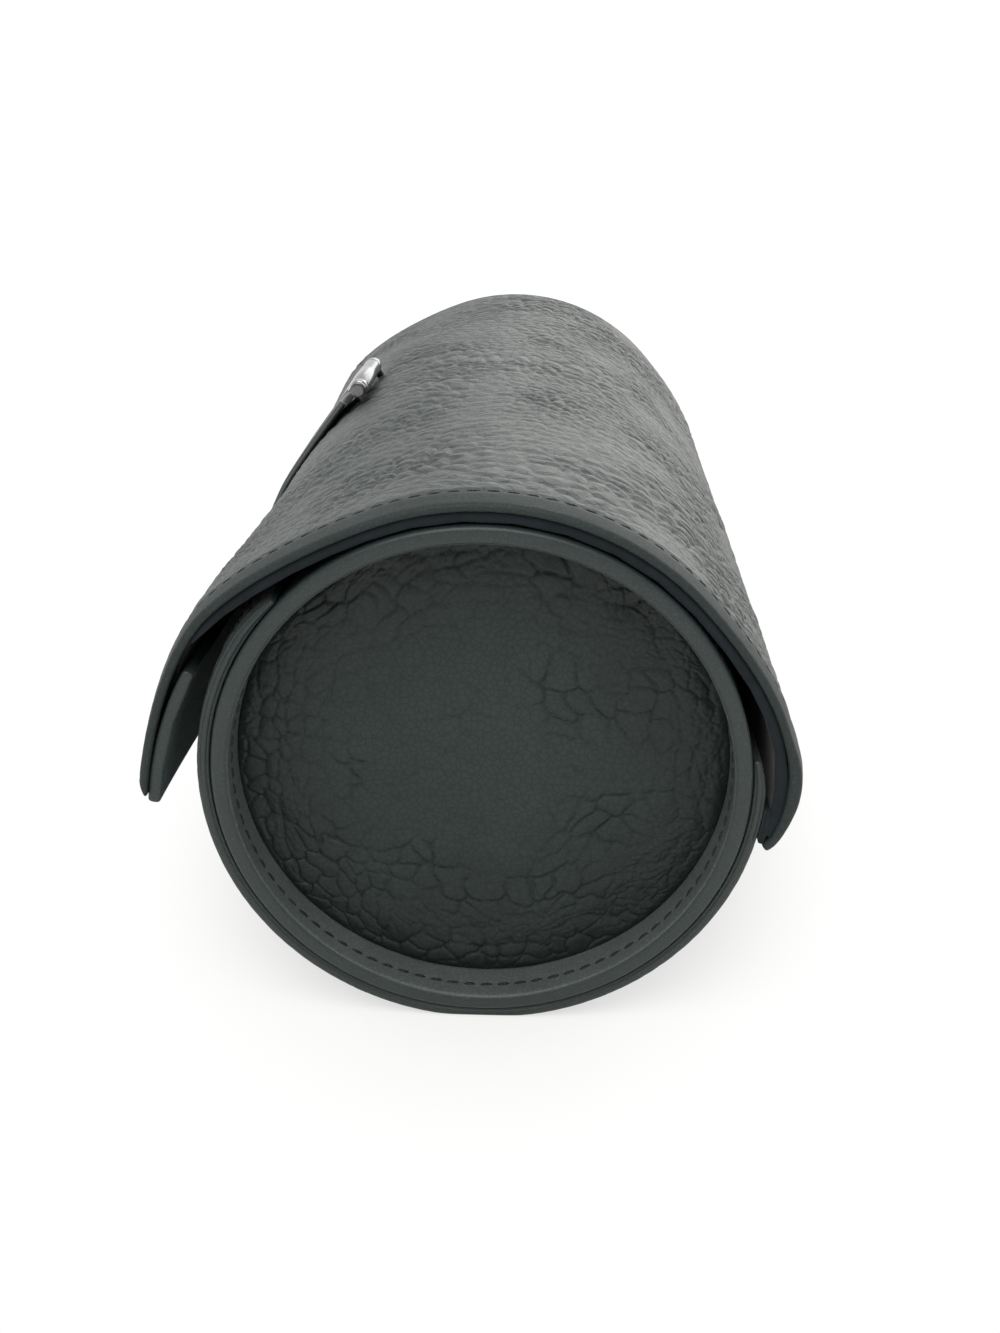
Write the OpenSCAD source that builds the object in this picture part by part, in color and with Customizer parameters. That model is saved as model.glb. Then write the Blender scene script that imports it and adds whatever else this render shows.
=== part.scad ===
// Watch roll: a round leather case for three watches, lying closed on its side.
// X runs across the roll with the lid's hinge at +X, Y along it with the front end at -Y, Z is up.
// The origin is the middle of the narrow flat underneath, on which the roll stands.

/* [Roll] */
// Length from one end to the other
roll_len = 200; // [170:1:240]
// Outer radius of the rim at each end
rim_r = 43; // [40:0.5:48]
// Wall of a rim
rim_wall = 2.9; // [2.4:0.1:4]
// How far a rim reaches in from its end
rim_depth = 13; // [12:0.5:20]
// Rounding of a rim's painted edge
rim_round = 1.2; // [0.4:0.1:1.2]
// How far the leather disc lies behind the rim's edge
disc_recess = 7; // [3:0.5:7]
// Pebbled leather of an end disc
disc_leather_t = 1.5; // [1:0.1:2]
// Board behind the leather of an end disc
disc_board_t = 2.4; // [1.5:0.1:2.6]
// Lining behind the board of an end disc
disc_lining_t = 0.8; // [0.4:0.1:0.8]

/* [Trough] */
// Board of the trough, which lies on the rims
board_t = 1.3; // [0.8:0.1:2]
// Leather wrapped round the trough
wrap_t = 1.2; // [1:0.1:2]
// Rounding of the wrap's painted edges
wrap_round = 0.5; // [0.2:0.1:0.5]
// How far the wrap stops short of the rims' edge
wrap_setback = 0.6; // [0.2:0.1:2]
// Lining of the trough
lining_t = 0.8; // [0.4:0.1:1.5]
// Angle at which the trough ends on the left
trough_left_a = 136; // [130:1:140]
// Angle at which the trough ends on the right
trough_right_a = 6; // [2:1:8]
// Depth of the flat pressed into the underside
flat_depth = 0.8; // [0.4:0.1:0.8]
// Thickness of a divider between two watches
divider_t = 3; // [2:0.5:5]
// Height of the dividers above the roll's axis
divider_top = 4; // [-8:1:6]

/* [Lid] */
// Clearance of the lid's lining over the rims
lid_gap = 0.4; // [0.35:0.05:1]
// Outer leather of the lid
lid_leather_t = 2.1; // [1.6:0.1:2.6]
// Thin board that stiffens the lid
lid_board_t = 0.9; // [0.6:0.1:1.4]
// Lining of the lid
lid_lining_t = 0.6; // [0.4:0.1:1.2]
// Leather facing inside the lid's free edge
facing_t = 2; // [1.2:0.1:2.4]
// Air between the facing and the outer leather
facing_gap = 0.1; // [0.05:0.05:0.4]
// Glue line between two layers
layer_gap = 0.1; // [0.05:0.05:0.2]
// How far the board and lining stop short of the lid's ends
lid_setback = 1; // [0.5:0.1:3]
// Angle of the lid's free edge
tip_a = 181; // [176:1:184]
// Air between the facing and the trough at the free edge, at the ends of the roll
tip_room = 5.65; // [4:0.05:7]
// The same air under the strap
tip_room_waist = 2.45; // [2:0.05:3.5]
// Angle of the lid's shoulder, where its board and lining end
shoulder_a = 147.5; // [146:0.5:149]
// Air between the facing and the trough at the shoulder, at the ends of the roll
shoulder_room = 2.35; // [1.5:0.05:3]
// The same air under the strap
shoulder_room_waist = 0.25; // [0.2:0.05:1]
// Air between the lid's lining and the trough at the fold over the hinge
fold_room = 0.85; // [0.5:0.05:1.5]

/* [Hinge] */
// Angle of the leather hinge round the roll
hinge_a = -13; // [-18:1:-10]
// Radius of the piped bead along the hinge edge of the lid's leather
bead_r = 1.3; // [1.2:0.05:1.5]
// Clearance between the bead and the trough
bead_gap = 0.2; // [0.15:0.05:0.5]
// Clearance between the bead and the welt that holds it
welt_gap = 0.1; // [0.05:0.05:0.2]
// Angle from the hinge up to the welt's lower edge, in degrees
welt_a = 1; // [1:0.5:2]
// Width of the welt round the trough, in degrees
welt_span = 7; // [4:1:9]
// Thickness of the welt
welt_t = 1.2; // [0.8:0.1:1.4]

/* [Strap] */
// Width of the strap
strap_w = 24; // [18:1:30]
// Outer leather of the strap
strap_leather_t = 0.8; // [0.6:0.1:1.2]
// Lining of the strap
strap_lining_t = 0.6; // [0.4:0.1:0.8]
// Clearance between the strap and what it lies against
strap_gap = 0.35; // [0.3:0.05:0.8]
// Radius of the metal barrel at the strap's upper end
barrel_r = 2.2; // [2:0.1:2.6]
// Radius of the pin through the barrel
pin_r = 0.8; // [0.6:0.05:0.9]
// Running clearance of the barrel on the pin
pin_gap = 0.06; // [0.03:0.01:0.1]
// Height of the pin's axis above the lid's leather
pin_lift = 2.9; // [2.8:0.1:4]
// Radius of a lug's eye
eye_r = 1.45; // [1.2:0.05:1.6]
// Thickness of a lug
lug_t = 1.4; // [1:0.1:2]
// Play between the barrel and each lug
lug_gap = 0.15; // [0.1:0.05:0.4]
// Radius of the pin's heads
pin_head_r = 1.1; // [1:0.05:1.2]
// Thickness of the pin's heads
pin_head_t = 0.35; // [0.2:0.05:0.6]
// Width of the plate that joins the lugs under the leather
saddle_w = 8; // [6:0.5:12]
// How far that plate reaches past the lugs
plate_edge = 1; // [0.5:0.1:2]
// How far the strap's middle passes outside the pin's axis
strap_offset = 0.8; // [0.6:0.05:1]
// Length of the jaw that grips the strap, from the pin's axis
jaw_len = 4.4; // [3.5:0.1:6]
// Thickness of each cheek of the jaw
jaw_t = 0.5; // [0.4:0.05:0.6]
// Metal left between the pin's bore and the end of the strap in the jaw
jaw_floor = 0.4; // [0.3:0.05:0.6]

/* [Closure] */
// Angle of the magnet below the lid's edge, seen from the hinge
closure_a = 182.4; // [182:0.1:184]
// Radius of the magnet and of its keeper
magnet_r = 5; // [4:0.5:6]
// Thickness of the magnet
magnet_t = 1.6; // [1:0.1:2]
// Leather left round the magnet in its pad
pad_wall = 2; // [1.5:0.1:3]
// Thickness of the steel keeper inside the strap
keeper_t = 1; // [0.8:0.1:1.5]
// Gap between magnet and keeper
magnet_gap = 0.55; // [0.5:0.05:0.8]
// Radius of the domed cap outside the strap
cap_r = 4.5; // [3.5:0.5:5.5]
// Height of the domed cap
cap_h = 1.2; // [0.8:0.1:2]
// Radius of the rivet that joins cap and keeper
rivet_r = 1.2; // [0.8:0.1:1.5]

/* [Cushions] */
// Width of a cushion across the roll
cushion_w = 58; // [50:1:60]
// Height of a cushion
cushion_h = 52; // [44:1:54]
// Play between a cushion and the walls of its bay
cushion_play = 1.5; // [1:0.25:4]
// Clearance under a cushion
cushion_gap = 0.3; // [0.3:0.1:0.6]
// Thickness of a cushion's cover
cover_t = 1.2; // [0.8:0.1:2]
// Depth of the domed panel at each end of a cushion
end_depth = 7; // [4:0.5:10]
// Share of its size that a cushion keeps at its end seams
seam_share = 0.93; // [0.88:0.01:0.97]

/* [Hidden] */
$fn = 96;

leather_black = [0.13, 0.14, 0.14];
edge_black = [0.2, 0.22, 0.22];
suede_dark = [0.1, 0.12, 0.13];
board_grey = [0.35, 0.34, 0.32];
steel_bright = [0.8, 0.81, 0.83];
foam_grey = [0.6, 0.6, 0.58];

half_len = roll_len / 2;
rim_in_r = rim_r - rim_wall;
board_r = rim_r + board_t;
wrap_r = board_r + wrap_t;
lining_in_r = rim_r - lining_t;
axis_h = wrap_r - flat_depth;
inner_half = half_len - rim_depth;
bay_len = (2 * inner_half - 2 * divider_t) / 3;
bay_pitch = bay_len + divider_t;

// Vectors in the roll's cross-section: [across, up], from the roll's axis
function polar(r, a) = [r * cos(a), r * sin(a)];
function mix(a, b, t) = a + (b - a) * t;
function unit(v) = v / norm(v);
function left_of(v) = [-v.y, v.x];
// Heading that leans right of straight up by an angle
function lean(a) = [sin(a), cos(a)];
// Heading clockwise round the roll at an angle
function clockwise(a) = [sin(a), -cos(a)];

// Points of a cubic curve from p to q, which leaves with the vector u and arrives with v
function curve(p, u, q, v, n) = [
  for (i = [0 : n - 1])
    let (t = i / n, s = 1 - t)
      s^3 * p + 3 * s^2 * t * (p + u) + 3 * s * t^2 * (q - v) + t^3 * q
];

// Unit vector to the left of a path at its point i
function side_at(path, i) =
  unit(left_of(path[min(i + 1, len(path) - 1)] - path[max(i - 1, 0)]));
function shifted(path, k) = [for (i = [0 : len(path) - 1]) path[i] + k * side_at(path, i)];
function part_of(path, first, last) = [for (i = [first : last]) path[i]];
function turned_round(path) = [for (i = [len(path) - 1 : -1 : 0]) path[i]];
// The outline of a layer between two distances from a path, over a stretch of its points
function band(path, outer, inner, first, last) = concat(
  part_of(shifted(path, outer), first, last),
  turned_round(part_of(shifted(path, inner), first, last))
);

// Layers of the lid, as distances outward from the middle of its leather
leather_out = lid_leather_t / 2;
leather_in = -leather_out;
lid_board_out = leather_in - layer_gap;
lid_board_in = lid_board_out - lid_board_t;
lid_lining_out = lid_board_in - layer_gap;
lid_lining_in = lid_lining_out - lid_lining_t;
facing_out = leather_in - facing_gap;
facing_in = facing_out - facing_t;
tip_lift = tip_room - facing_in;
tip_lift_waist = tip_room_waist - facing_in;
shoulder_lift = shoulder_room - facing_in;
shoulder_lift_waist = shoulder_room_waist - facing_in;
fold_lift = fold_room - lid_lining_in;
crown_r = rim_r + lid_gap - lid_lining_in;

hinge_r = wrap_r + bead_gap + bead_r;
hinge = polar(hinge_r, hinge_a);
// Farthest point of the trough, seen from the hinge
sweep_r = hinge_r + wrap_r;

// Places of the two lugs, at the ends of the barrel, and of the plate that joins them
lug_y = (strap_w + lug_gap + lug_t) / 2;
plate_len = 2 * lug_y + lug_t + 2 * plate_edge;
plate_depth = pin_lift + lid_leather_t + layer_gap;
plate_cut = plate_depth + 3 * lid_board_t;

// How strongly the strap draws the lid in at a place along the roll, from 0 to 1
waist_flat = (plate_len + plate_edge) / 2;
function waist(y) = (1 + cos(180 * max(0, abs(y) - waist_flat) / (half_len - waist_flat))) / 2;

// Steps of the lid's line from its free edge to the shoulder, crown, fold and hinge
tip_steps = 5;
shoulder_steps = 6;
crown_steps = 9;
fold_steps = 7;
hinge_steps = 6;
shoulder_i = tip_steps;
saddle_i = shoulder_i + shoulder_steps / 3;
fold_i = tip_steps + shoulder_steps + crown_steps + fold_steps;

// Headings of the lid's line at its free edge and shoulder, and the angles between which it
// lies on the rims, each at the ends of the roll and under the strap
tip_leans = [8.6, 3];
shoulder_leans = [42, 33.4];
rise_angles = [109.5, 92.5];
fall_a = 42;
hem_way = lean(239);
// How firmly each heading is kept: the length of the curve's handle there
tip_pull = 0.198 * wrap_r;
shoulder_pull = 0.185 * wrap_r;
waist_pull = 0.55 * wrap_r;
crown_pull = 0.286 * wrap_r;
fold_pull = 0.215 * wrap_r;
hem_pull = 0.116 * wrap_r;
bead_pull = 0.053 * wrap_r;
fold_rise = 0.042 * wrap_r;

// The middle of the lid's leather, from the free edge over the top to its hem at the hinge
function lid_line(w) =
  let (
    tip = polar(wrap_r + mix(tip_lift, tip_lift_waist, w), tip_a),
    tip_way = lean(mix(tip_leans[0], tip_leans[1], w)),
    shoulder = polar(wrap_r + mix(shoulder_lift, shoulder_lift_waist, w), shoulder_a),
    shoulder_way = lean(mix(shoulder_leans[0], shoulder_leans[1], w)),
    rise_a = mix(rise_angles[0], rise_angles[1], w),
    rise = polar(crown_r, rise_a),
    rise_pull = mix(tip_pull, waist_pull, w),
    fall = polar(crown_r, fall_a),
    fold = [wrap_r + fold_lift, fold_rise],
    hem = hinge - (bead_r + layer_gap) * hem_way
  ) concat(
    curve(tip, tip_pull * tip_way, shoulder, shoulder_pull * shoulder_way, tip_steps),
    curve(shoulder, rise_pull * shoulder_way, rise, tip_pull * clockwise(rise_a), shoulder_steps),
    [for (i = [0 : crown_steps - 1]) polar(crown_r, mix(rise_a, fall_a, i / crown_steps))],
    curve(fall, crown_pull * clockwise(fall_a), fold, [0, -fold_pull], fold_steps),
    curve(fold, [0, -hem_pull], hem, bead_pull * hem_way, hinge_steps),
    [hem]
  );
waist_line = lid_line(1);

// Places along the roll where the lid's form is set, denser towards the middle
spans = 4;
half_places = [for (i = [0 : spans]) mix(waist_flat, half_len, i / spans)];

// The strap hangs on its pin, lies on the lid and ends on an arc about the lid's hinge,
// so that its keeper slides off the magnet when the lid lifts
saddle_way = side_at(waist_line, saddle_i);
pin_at = waist_line[saddle_i] + (leather_out + pin_lift) * saddle_way;
strap_t = strap_leather_t + strap_lining_t;
strap_on_lid = shifted(waist_line, leather_out + strap_gap + strap_t / 2);
strap_way = unit(strap_on_lid[shoulder_i - 1] - pin_at);
strap_side = -left_of(strap_way);
// How far from the pin's axis the strap starts, inside the jaw
jaw_from = pin_r + pin_gap + jaw_floor;
magnet_face = sweep_r + strap_gap - magnet_gap;
keeper_face = sweep_r + strap_gap;
keeper_back = keeper_face + keeper_t;
strap_arc_r = norm([keeper_back, magnet_r]) + layer_gap / 2 + strap_t / 2;
// Angle that a length along the strap's arc takes up
function arc_angle(length) = length / strap_arc_r * 180 / PI;
arc_first_a = closure_a - arc_angle(1.4 * magnet_r);
arc_last_a = closure_a + arc_angle(strap_w / 2);
lid_way = unit(strap_on_lid[shoulder_i - 2] - strap_on_lid[shoulder_i - 1]);
edge_way = unit(strap_on_lid[0] - strap_on_lid[1]);
lid_pull = 0.11 * wrap_r;
bend_pull = 0.075 * wrap_r;
bend_steps = 7;
arc_steps = 6;
jaw_steps = 5;
strap_line = concat(
  [pin_at + jaw_from * strap_way + strap_offset * strap_side],
  curve(pin_at + jaw_len * strap_way + strap_offset * strap_side, lid_pull * strap_way,
    strap_on_lid[shoulder_i - 1], lid_pull * lid_way, jaw_steps),
  [for (i = [shoulder_i - 1 : -1 : 1]) strap_on_lid[i]],
  curve(strap_on_lid[0], bend_pull * edge_way, hinge + polar(strap_arc_r, arc_first_a),
    [0, -bend_pull], bend_steps),
  [
    for (i = [0 : arc_steps])
      hinge + polar(strap_arc_r, mix(arc_first_a, arc_last_a, i / arc_steps))
  ]
);

// A solid through outlines of equal count, each at its own place along the roll.
// Each outline is a band: its outer points and then its inner ones, back again. Both sides
// are split along the same diagonals, so that layers with a thin gap between them stay clear.
module loft(outlines, places) {
  n = len(outlines[0]);
  half = n / 2;
  last = len(outlines) - 1;
  points = [for (j = [0 : last]) for (p = outlines[j]) [p.x, places[j], axis_h + p.y]];
  walls = [
    for (j = [0 : last - 1]) for (i = [0 : n - 1])
      let (a = j * n + i, b = j * n + (i + 1) % n)
        each i < half
          ? [[a, b + n, b], [a, a + n, b + n]]
          : [[a, a + n, b], [b, a + n, b + n]]
  ];
  front = [for (i = [0 : half - 2]) each [[i, n - 2 - i, n - 1 - i], [i, i + 1, n - 2 - i]]];
  back = [for (f = front) [for (i = [2 : -1 : 0]) f[i] + last * n]];
  polyhedron(points, concat(walls, front, back), convexity = 8);
}

// A layer of the lid between two distances from its line, over a stretch of its points,
// which stops short of the roll's ends and there still lies along the other layers
module lid_layer(outer, inner, first, last, setback) {
  bands = [for (y = half_places) band(lid_line(waist(y)), outer, inner, first, last)];
  share = setback / (half_len - half_places[spans - 1]);
  half = concat(part_of(bands, 0, spans - 1), [mix(bands[spans], bands[spans - 1], share)]);
  places = concat(part_of(half_places, 0, spans - 1), [half_len - setback]);
  loft(concat(turned_round(half), half), concat(-turned_round(places), places));
}

// What is drawn with its flat shape across the roll and its height along it, centred on y
module across(y, h) {
  translate([0, y, axis_h]) rotate([90, 0, 0]) linear_extrude(h, center = true) children();
}

// What is turned about the roll's axis: a flat shape with its radius to the right
module around(from_a, to_a) {
  translate([0, 0, axis_h])
    rotate([90, 0, 0])
      rotate_extrude(angle = to_a - from_a, start = from_a)
        children();
}

// What belongs to an end: z is 0 at the end and grows outward; side is 1 in front, -1 behind
module at_end(side) {
  translate([0, 0, axis_h]) rotate([side * 90, 0, 0]) translate([0, 0, half_len]) children();
}

// What lies on a line through the lid's hinge: z grows away from the hinge
module from_hinge(a) {
  translate([hinge.x, 0, axis_h + hinge.y]) rotate([0, 90 - a, 0]) children();
}

module roll_cylinder(r, h) {
  translate([0, 0, axis_h]) rotate([90, 0, 0]) cylinder(r = r, h = h, center = true);
}

// A bar's section, w wide and h high, with its upper corners rounded
module edged_bar(w, h, r) {
  square([w, h - r]);
  translate([r, 0]) square([w - 2 * r, h]);
  for (x = [r, w - r]) translate([x, h - r]) circle(r);
}

// The same bar with all its outer corners rounded on the side away from the axis
module wrap_bar(w, h, r) {
  translate([0, -h / 2 + r]) square([w, h - 2 * r]);
  translate([0, -h / 2]) square([w - r, h]);
  for (s = [-1, 1]) translate([w - r, s * (h / 2 - r)]) circle(r);
}

module rim(side) {
  at_end(side)
    rotate_extrude()
      translate([rim_in_r, -rim_depth])
        edged_bar(rim_wall, rim_depth, rim_round);
}

module end_disc(side, depth, t) {
  at_end(side) translate([0, 0, -depth - t]) cylinder(r = rim_in_r, h = t);
}

module case_wrap() {
  color(leather_black)
    difference() {
      around(trough_left_a, 360 + trough_right_a)
        translate([board_r, 0])
          wrap_bar(wrap_t, roll_len - 2 * wrap_setback, wrap_round);
      translate([-wrap_r, -half_len, -wrap_r]) cube([2 * wrap_r, roll_len, wrap_r]);
    }
}

module case_board() {
  length = roll_len - 4 * wrap_setback;
  color(board_grey)
    around(trough_left_a, 360 + trough_right_a)
      translate([rim_r, -length / 2])
        square([board_t, length]);
}

module case_lining() {
  color(suede_dark)
    around(trough_left_a, 360 + trough_right_a)
      translate([lining_in_r, -inner_half])
        square([lining_t, 2 * inner_half]);
}

module front_rim() { color(edge_black) rim(1); }
module rear_rim() { color(edge_black) rim(-1); }
module front_disc() { color(leather_black) end_disc(1, disc_recess, disc_leather_t); }
module rear_disc() { color(leather_black) end_disc(-1, disc_recess, disc_leather_t); }

module disc_board(side) {
  color(board_grey) end_disc(side, disc_recess + disc_leather_t, disc_board_t);
}
module front_disc_board() { disc_board(1); }
module rear_disc_board() { disc_board(-1); }

module disc_lining(side) {
  color(suede_dark)
    end_disc(side, disc_recess + disc_leather_t + disc_board_t, disc_lining_t);
}
module front_disc_lining() { disc_lining(1); }
module rear_disc_lining() { disc_lining(-1); }

// A divider fills the trough's round up to a level top
module divider(side) {
  color(suede_dark)
    difference() {
      translate([0, side * bay_pitch / 2, 0]) roll_cylinder(lining_in_r, divider_t);
      translate([-rim_r, -half_len, axis_h + divider_top]) cube([2 * rim_r, roll_len, rim_r]);
    }
}
module divider_front() { divider(-1); }
module divider_rear() { divider(1); }

// The strip sewn to the trough under the lid, hollowed to hold the lid's bead
module hinge_welt() {
  color(leather_black)
    difference() {
      around(hinge_a + welt_a, hinge_a + welt_a + welt_span)
        translate([wrap_r, wrap_setback - half_len])
          square([welt_t, roll_len - 2 * wrap_setback]);
      bead(bead_r + welt_gap, 2 * roll_len);
    }
}

module bead(r, h) {
  translate([hinge.x, 0, axis_h + hinge.y])
    rotate([90, 0, 0])
      cylinder(r = r, h = h, center = true);
}

// A leather pad on the trough that brings the magnet's face out to the strap's arc
module magnet_pad() {
  color(leather_black)
    difference() {
      from_hinge(closure_a)
        translate([0, 0, magnet_face - board_r / 4])
          cylinder(r = magnet_r + pad_wall, h = board_r / 4);
      roll_cylinder(wrap_r, roll_len);
      from_hinge(closure_a)
        translate([0, 0, magnet_face - magnet_t])
          cylinder(r = magnet_r, h = 2 * magnet_t);
    }
}

module case_magnet() {
  color(steel_bright)
    from_hinge(closure_a)
      translate([0, 0, magnet_face - magnet_t])
        cylinder(r = magnet_r, h = magnet_t);
}

// What is drawn about the pin's axis with x outward from the lid, centred on y
module across_pin(y, h) {
  across(y, h) translate(pin_at) rotate(atan2(saddle_way.y, saddle_way.x)) children();
}

// A strip w wide that runs in from the pin's axis, from one depth to another
module strip(w, shallow, deep) {
  translate([-deep, -w / 2]) square([deep - shallow, w]);
}

// Slots in the lid's leather and board for the lugs, and for the plate that joins them
module lug_slots(gap) {
  for (s = [-1, 1])
    across_pin(s * lug_y, lug_t + 2 * gap) strip(2 * eye_r + 2 * gap, 0, plate_depth);
}

module lid_leather() {
  color(leather_black)
    difference() {
      lid_layer(leather_out, leather_in, 0, len(waist_line) - 1, 0);
      lug_slots(layer_gap);
    }
}

module lid_bead() { color(leather_black) bead(bead_r, roll_len); }

module lid_board() {
  color(board_grey)
    difference() {
      lid_layer(lid_board_out, lid_board_in, shoulder_i, fold_i, 2 * lid_setback);
      across_pin(0, plate_len + 2 * layer_gap) strip(saddle_w + 2 * layer_gap, 0, plate_cut);
    }
}

module lid_lining() {
  color(suede_dark)
    lid_layer(lid_lining_out, lid_lining_in, shoulder_i, fold_i, lid_setback);
}

module lid_facing() {
  color(edge_black)
    lid_layer(facing_out, facing_in, 0, shoulder_i - 1, lid_setback);
}

// Two lugs on a plate that lies under the leather, in the board's window
module strap_saddle() {
  color(steel_bright) {
    across(0, plate_len)
      intersection() {
        polygon(band(waist_line, lid_board_out, lid_board_in, saddle_i - 2, saddle_i + 2));
        translate(pin_at)
          rotate(atan2(saddle_way.y, saddle_way.x))
            strip(saddle_w, 0, plate_cut);
      }
    for (s = [-1, 1])
      across_pin(s * lug_y, lug_t)
        difference() {
          union() {
            strip(2 * eye_r, 0, plate_depth + lid_board_t / 2);
            circle(eye_r);
          }
          circle(pin_r);
        }
  }
}

module strap_pin() {
  outer = lug_y + lug_t / 2;
  color(steel_bright) {
    across_pin(0, 2 * outer) circle(pin_r);
    for (s = [-1, 1]) across_pin(s * (outer + pin_head_t / 2), pin_head_t) circle(pin_head_r);
  }
}

module strap_barrel() {
  length = 2 * lug_y - lug_t - 2 * lug_gap;
  cheeks = strap_t + 2 * jaw_t;
  jaw_a = atan2(strap_way.y, strap_way.x) - atan2(saddle_way.y, saddle_way.x);
  color(steel_bright)
    across_pin(0, length)
      difference() {
        union() {
          circle(barrel_r);
          rotate(jaw_a) translate([0, -strap_offset - cheeks / 2]) square([jaw_len, cheeks]);
        }
        circle(pin_r + pin_gap);
        rotate(jaw_a) translate([jaw_from, -strap_offset - strap_t / 2]) square([jaw_len, strap_t]);
      }
}

// A layer of the strap between two distances from its line, rounded about its keeper
module strap_layer(outer, inner) {
  difference() {
    across(0, strap_w - 4 * lug_gap)
      polygon(band(strap_line, outer, inner, 0, len(strap_line) - 1));
    from_hinge(closure_a)
      translate([0, 0, keeper_face])
        difference() {
          translate([-strap_w, -strap_w, 0]) cube([strap_w, 2 * strap_w, strap_w]);
          cylinder(r = strap_w / 2 - 2 * lug_gap, h = 3 * strap_w, center = true);
        }
    from_hinge(closure_a) cylinder(r = rivet_r, h = 2 * strap_arc_r);
  }
}

module strap_leather() { color(leather_black) strap_layer(-strap_t / 2 + strap_leather_t, -strap_t / 2); }
module strap_lining() { color(suede_dark) strap_layer(strap_t / 2, strap_t / 2 - strap_lining_t); }

module strap_keeper() {
  color(steel_bright)
    from_hinge(closure_a)
      translate([0, 0, keeper_face])
        cylinder(r = magnet_r, h = keeper_t);
}

module keeper_rivet() {
  cap_base = strap_arc_r + strap_t / 2 + layer_gap;
  dome_r = (cap_r^2 + cap_h^2) / (2 * cap_h);
  color(steel_bright)
    from_hinge(closure_a) {
      translate([0, 0, keeper_back]) cylinder(r = rivet_r, h = cap_base + cap_h / 2 - keeper_back);
      translate([0, 0, cap_base])
        intersection() {
          translate([0, 0, cap_h - dome_r]) sphere(dome_r);
          cylinder(r = cap_r, h = cap_h);
        }
    }
}

// Cushion n, counted from the front: its middle along the roll and above the axis
function cushion_y(n) = (n - 2) * bay_pitch;
cushion_z = cushion_gap + cushion_h / 2 - lining_in_r;
cushion_half = bay_len / 2 - cushion_play;
seam_at = cushion_half - end_depth;
cushion_sides = 20;

// An oval ring of a cushion at y from its middle, of a share of its size, drawn in by t
function oval(y, share, t) = [
  for (i = [0 : cushion_sides - 1])
    [
      (share * cushion_w / 2 - t) * cos(i * 360 / cushion_sides),
      y,
      (share * cushion_h / 2 - t) * sin(i * 360 / cushion_sides)
    ]
];
// The swell of the cover between its seams, and the dome beyond a seam
function swell(y) = mix(1, seam_share, (y / seam_at)^2);
function dome(t, a) = oval(seam_at + (end_depth - t) * sin(a), seam_share * cos(a), t * cos(a));
function mirrored(ring) = [for (p = ring) [p.x, -p.y, p.z]];

// A solid through rings: closed on itself as a sleeve, or with flat ends
module rings(list, closed) {
  n = cushion_sides;
  count = len(list);
  walls = [
    for (j = [0 : closed ? count - 1 : count - 2]) for (i = [0 : n - 1])
      let (a = j * n, b = (j + 1) % count * n, k = (i + 1) % n)
        each [[a + i, a + k, b + k], [a + i, b + k, b + i]]
  ];
  first = [for (i = [1 : n - 2]) [0, i + 1, i]];
  last = [for (i = [1 : n - 2]) [0, i, i + 1] + [1, 1, 1] * (count - 1) * n];
  polyhedron([for (r = list) each r], closed ? walls : concat(walls, first, last), convexity = 4);
}

module at_cushion(n) {
  translate([0, cushion_y(n), axis_h + cushion_z]) children();
}

module cushion_cover(n) {
  steps = [-2 : 2];
  color(suede_dark)
    at_cushion(n)
      rings(
        concat(
          [for (i = steps) oval(seam_at * i / 2, swell(seam_at * i / 2), 0)],
          [for (i = steps) oval(-seam_at * i / 2, swell(seam_at * i / 2), cover_t)]
        ),
        true
      );
}

module cushion_ends(n) {
  rise = [0, 35, 62, 80];
  color(leather_black)
    at_cushion(n)
      for (turn = [0, 180])
        rotate([0, 0, turn])
          translate([0, layer_gap / 2, 0])
            rings(
              concat([for (a = [3 : -1 : 0]) dome(cover_t, rise[a])], [for (a = rise) dome(0, a)]),
              false
            );
}

module cushion_core(n) {
  t = cover_t + layer_gap;
  rise = [35, 62, 80];
  color(foam_grey)
    at_cushion(n)
      rings(
        concat(
          [for (a = [2 : -1 : 0]) mirrored(dome(t, rise[a]))],
          [for (i = [-2 : 2]) oval(seam_at * i / 2, swell(seam_at * i / 2), t)],
          [for (a = rise) dome(t, a)]
        ),
        false
      );
}

module cushion_cover_1() { cushion_cover(1); }
module cushion_cover_2() { cushion_cover(2); }
module cushion_cover_3() { cushion_cover(3); }
module cushion_ends_1() { cushion_ends(1); }
module cushion_ends_2() { cushion_ends(2); }
module cushion_ends_3() { cushion_ends(3); }
module cushion_core_1() { cushion_core(1); }
module cushion_core_2() { cushion_core(2); }
module cushion_core_3() { cushion_core(3); }

case_wrap();
case_board();
case_lining();
front_rim();
rear_rim();
front_disc();
rear_disc();
front_disc_board();
rear_disc_board();
front_disc_lining();
rear_disc_lining();
divider_front();
divider_rear();
hinge_welt();
magnet_pad();
case_magnet();
lid_leather();
lid_bead();
lid_board();
lid_lining();
lid_facing();
strap_saddle();
strap_pin();
strap_barrel();
strap_leather();
strap_lining();
strap_keeper();
keeper_rivet();
cushion_cover_1();
cushion_ends_1();
cushion_core_1();
cushion_cover_2();
cushion_ends_2();
cushion_core_2();
cushion_cover_3();
cushion_ends_3();
cushion_core_3();
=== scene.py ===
"""Watch roll: leather, suede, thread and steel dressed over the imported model, in its frame."""

import math

import bmesh
import bpy
import numpy as np
from bpy.props import FloatProperty, FloatVectorProperty, PointerProperty
from mathutils import Matrix, Vector


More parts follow.
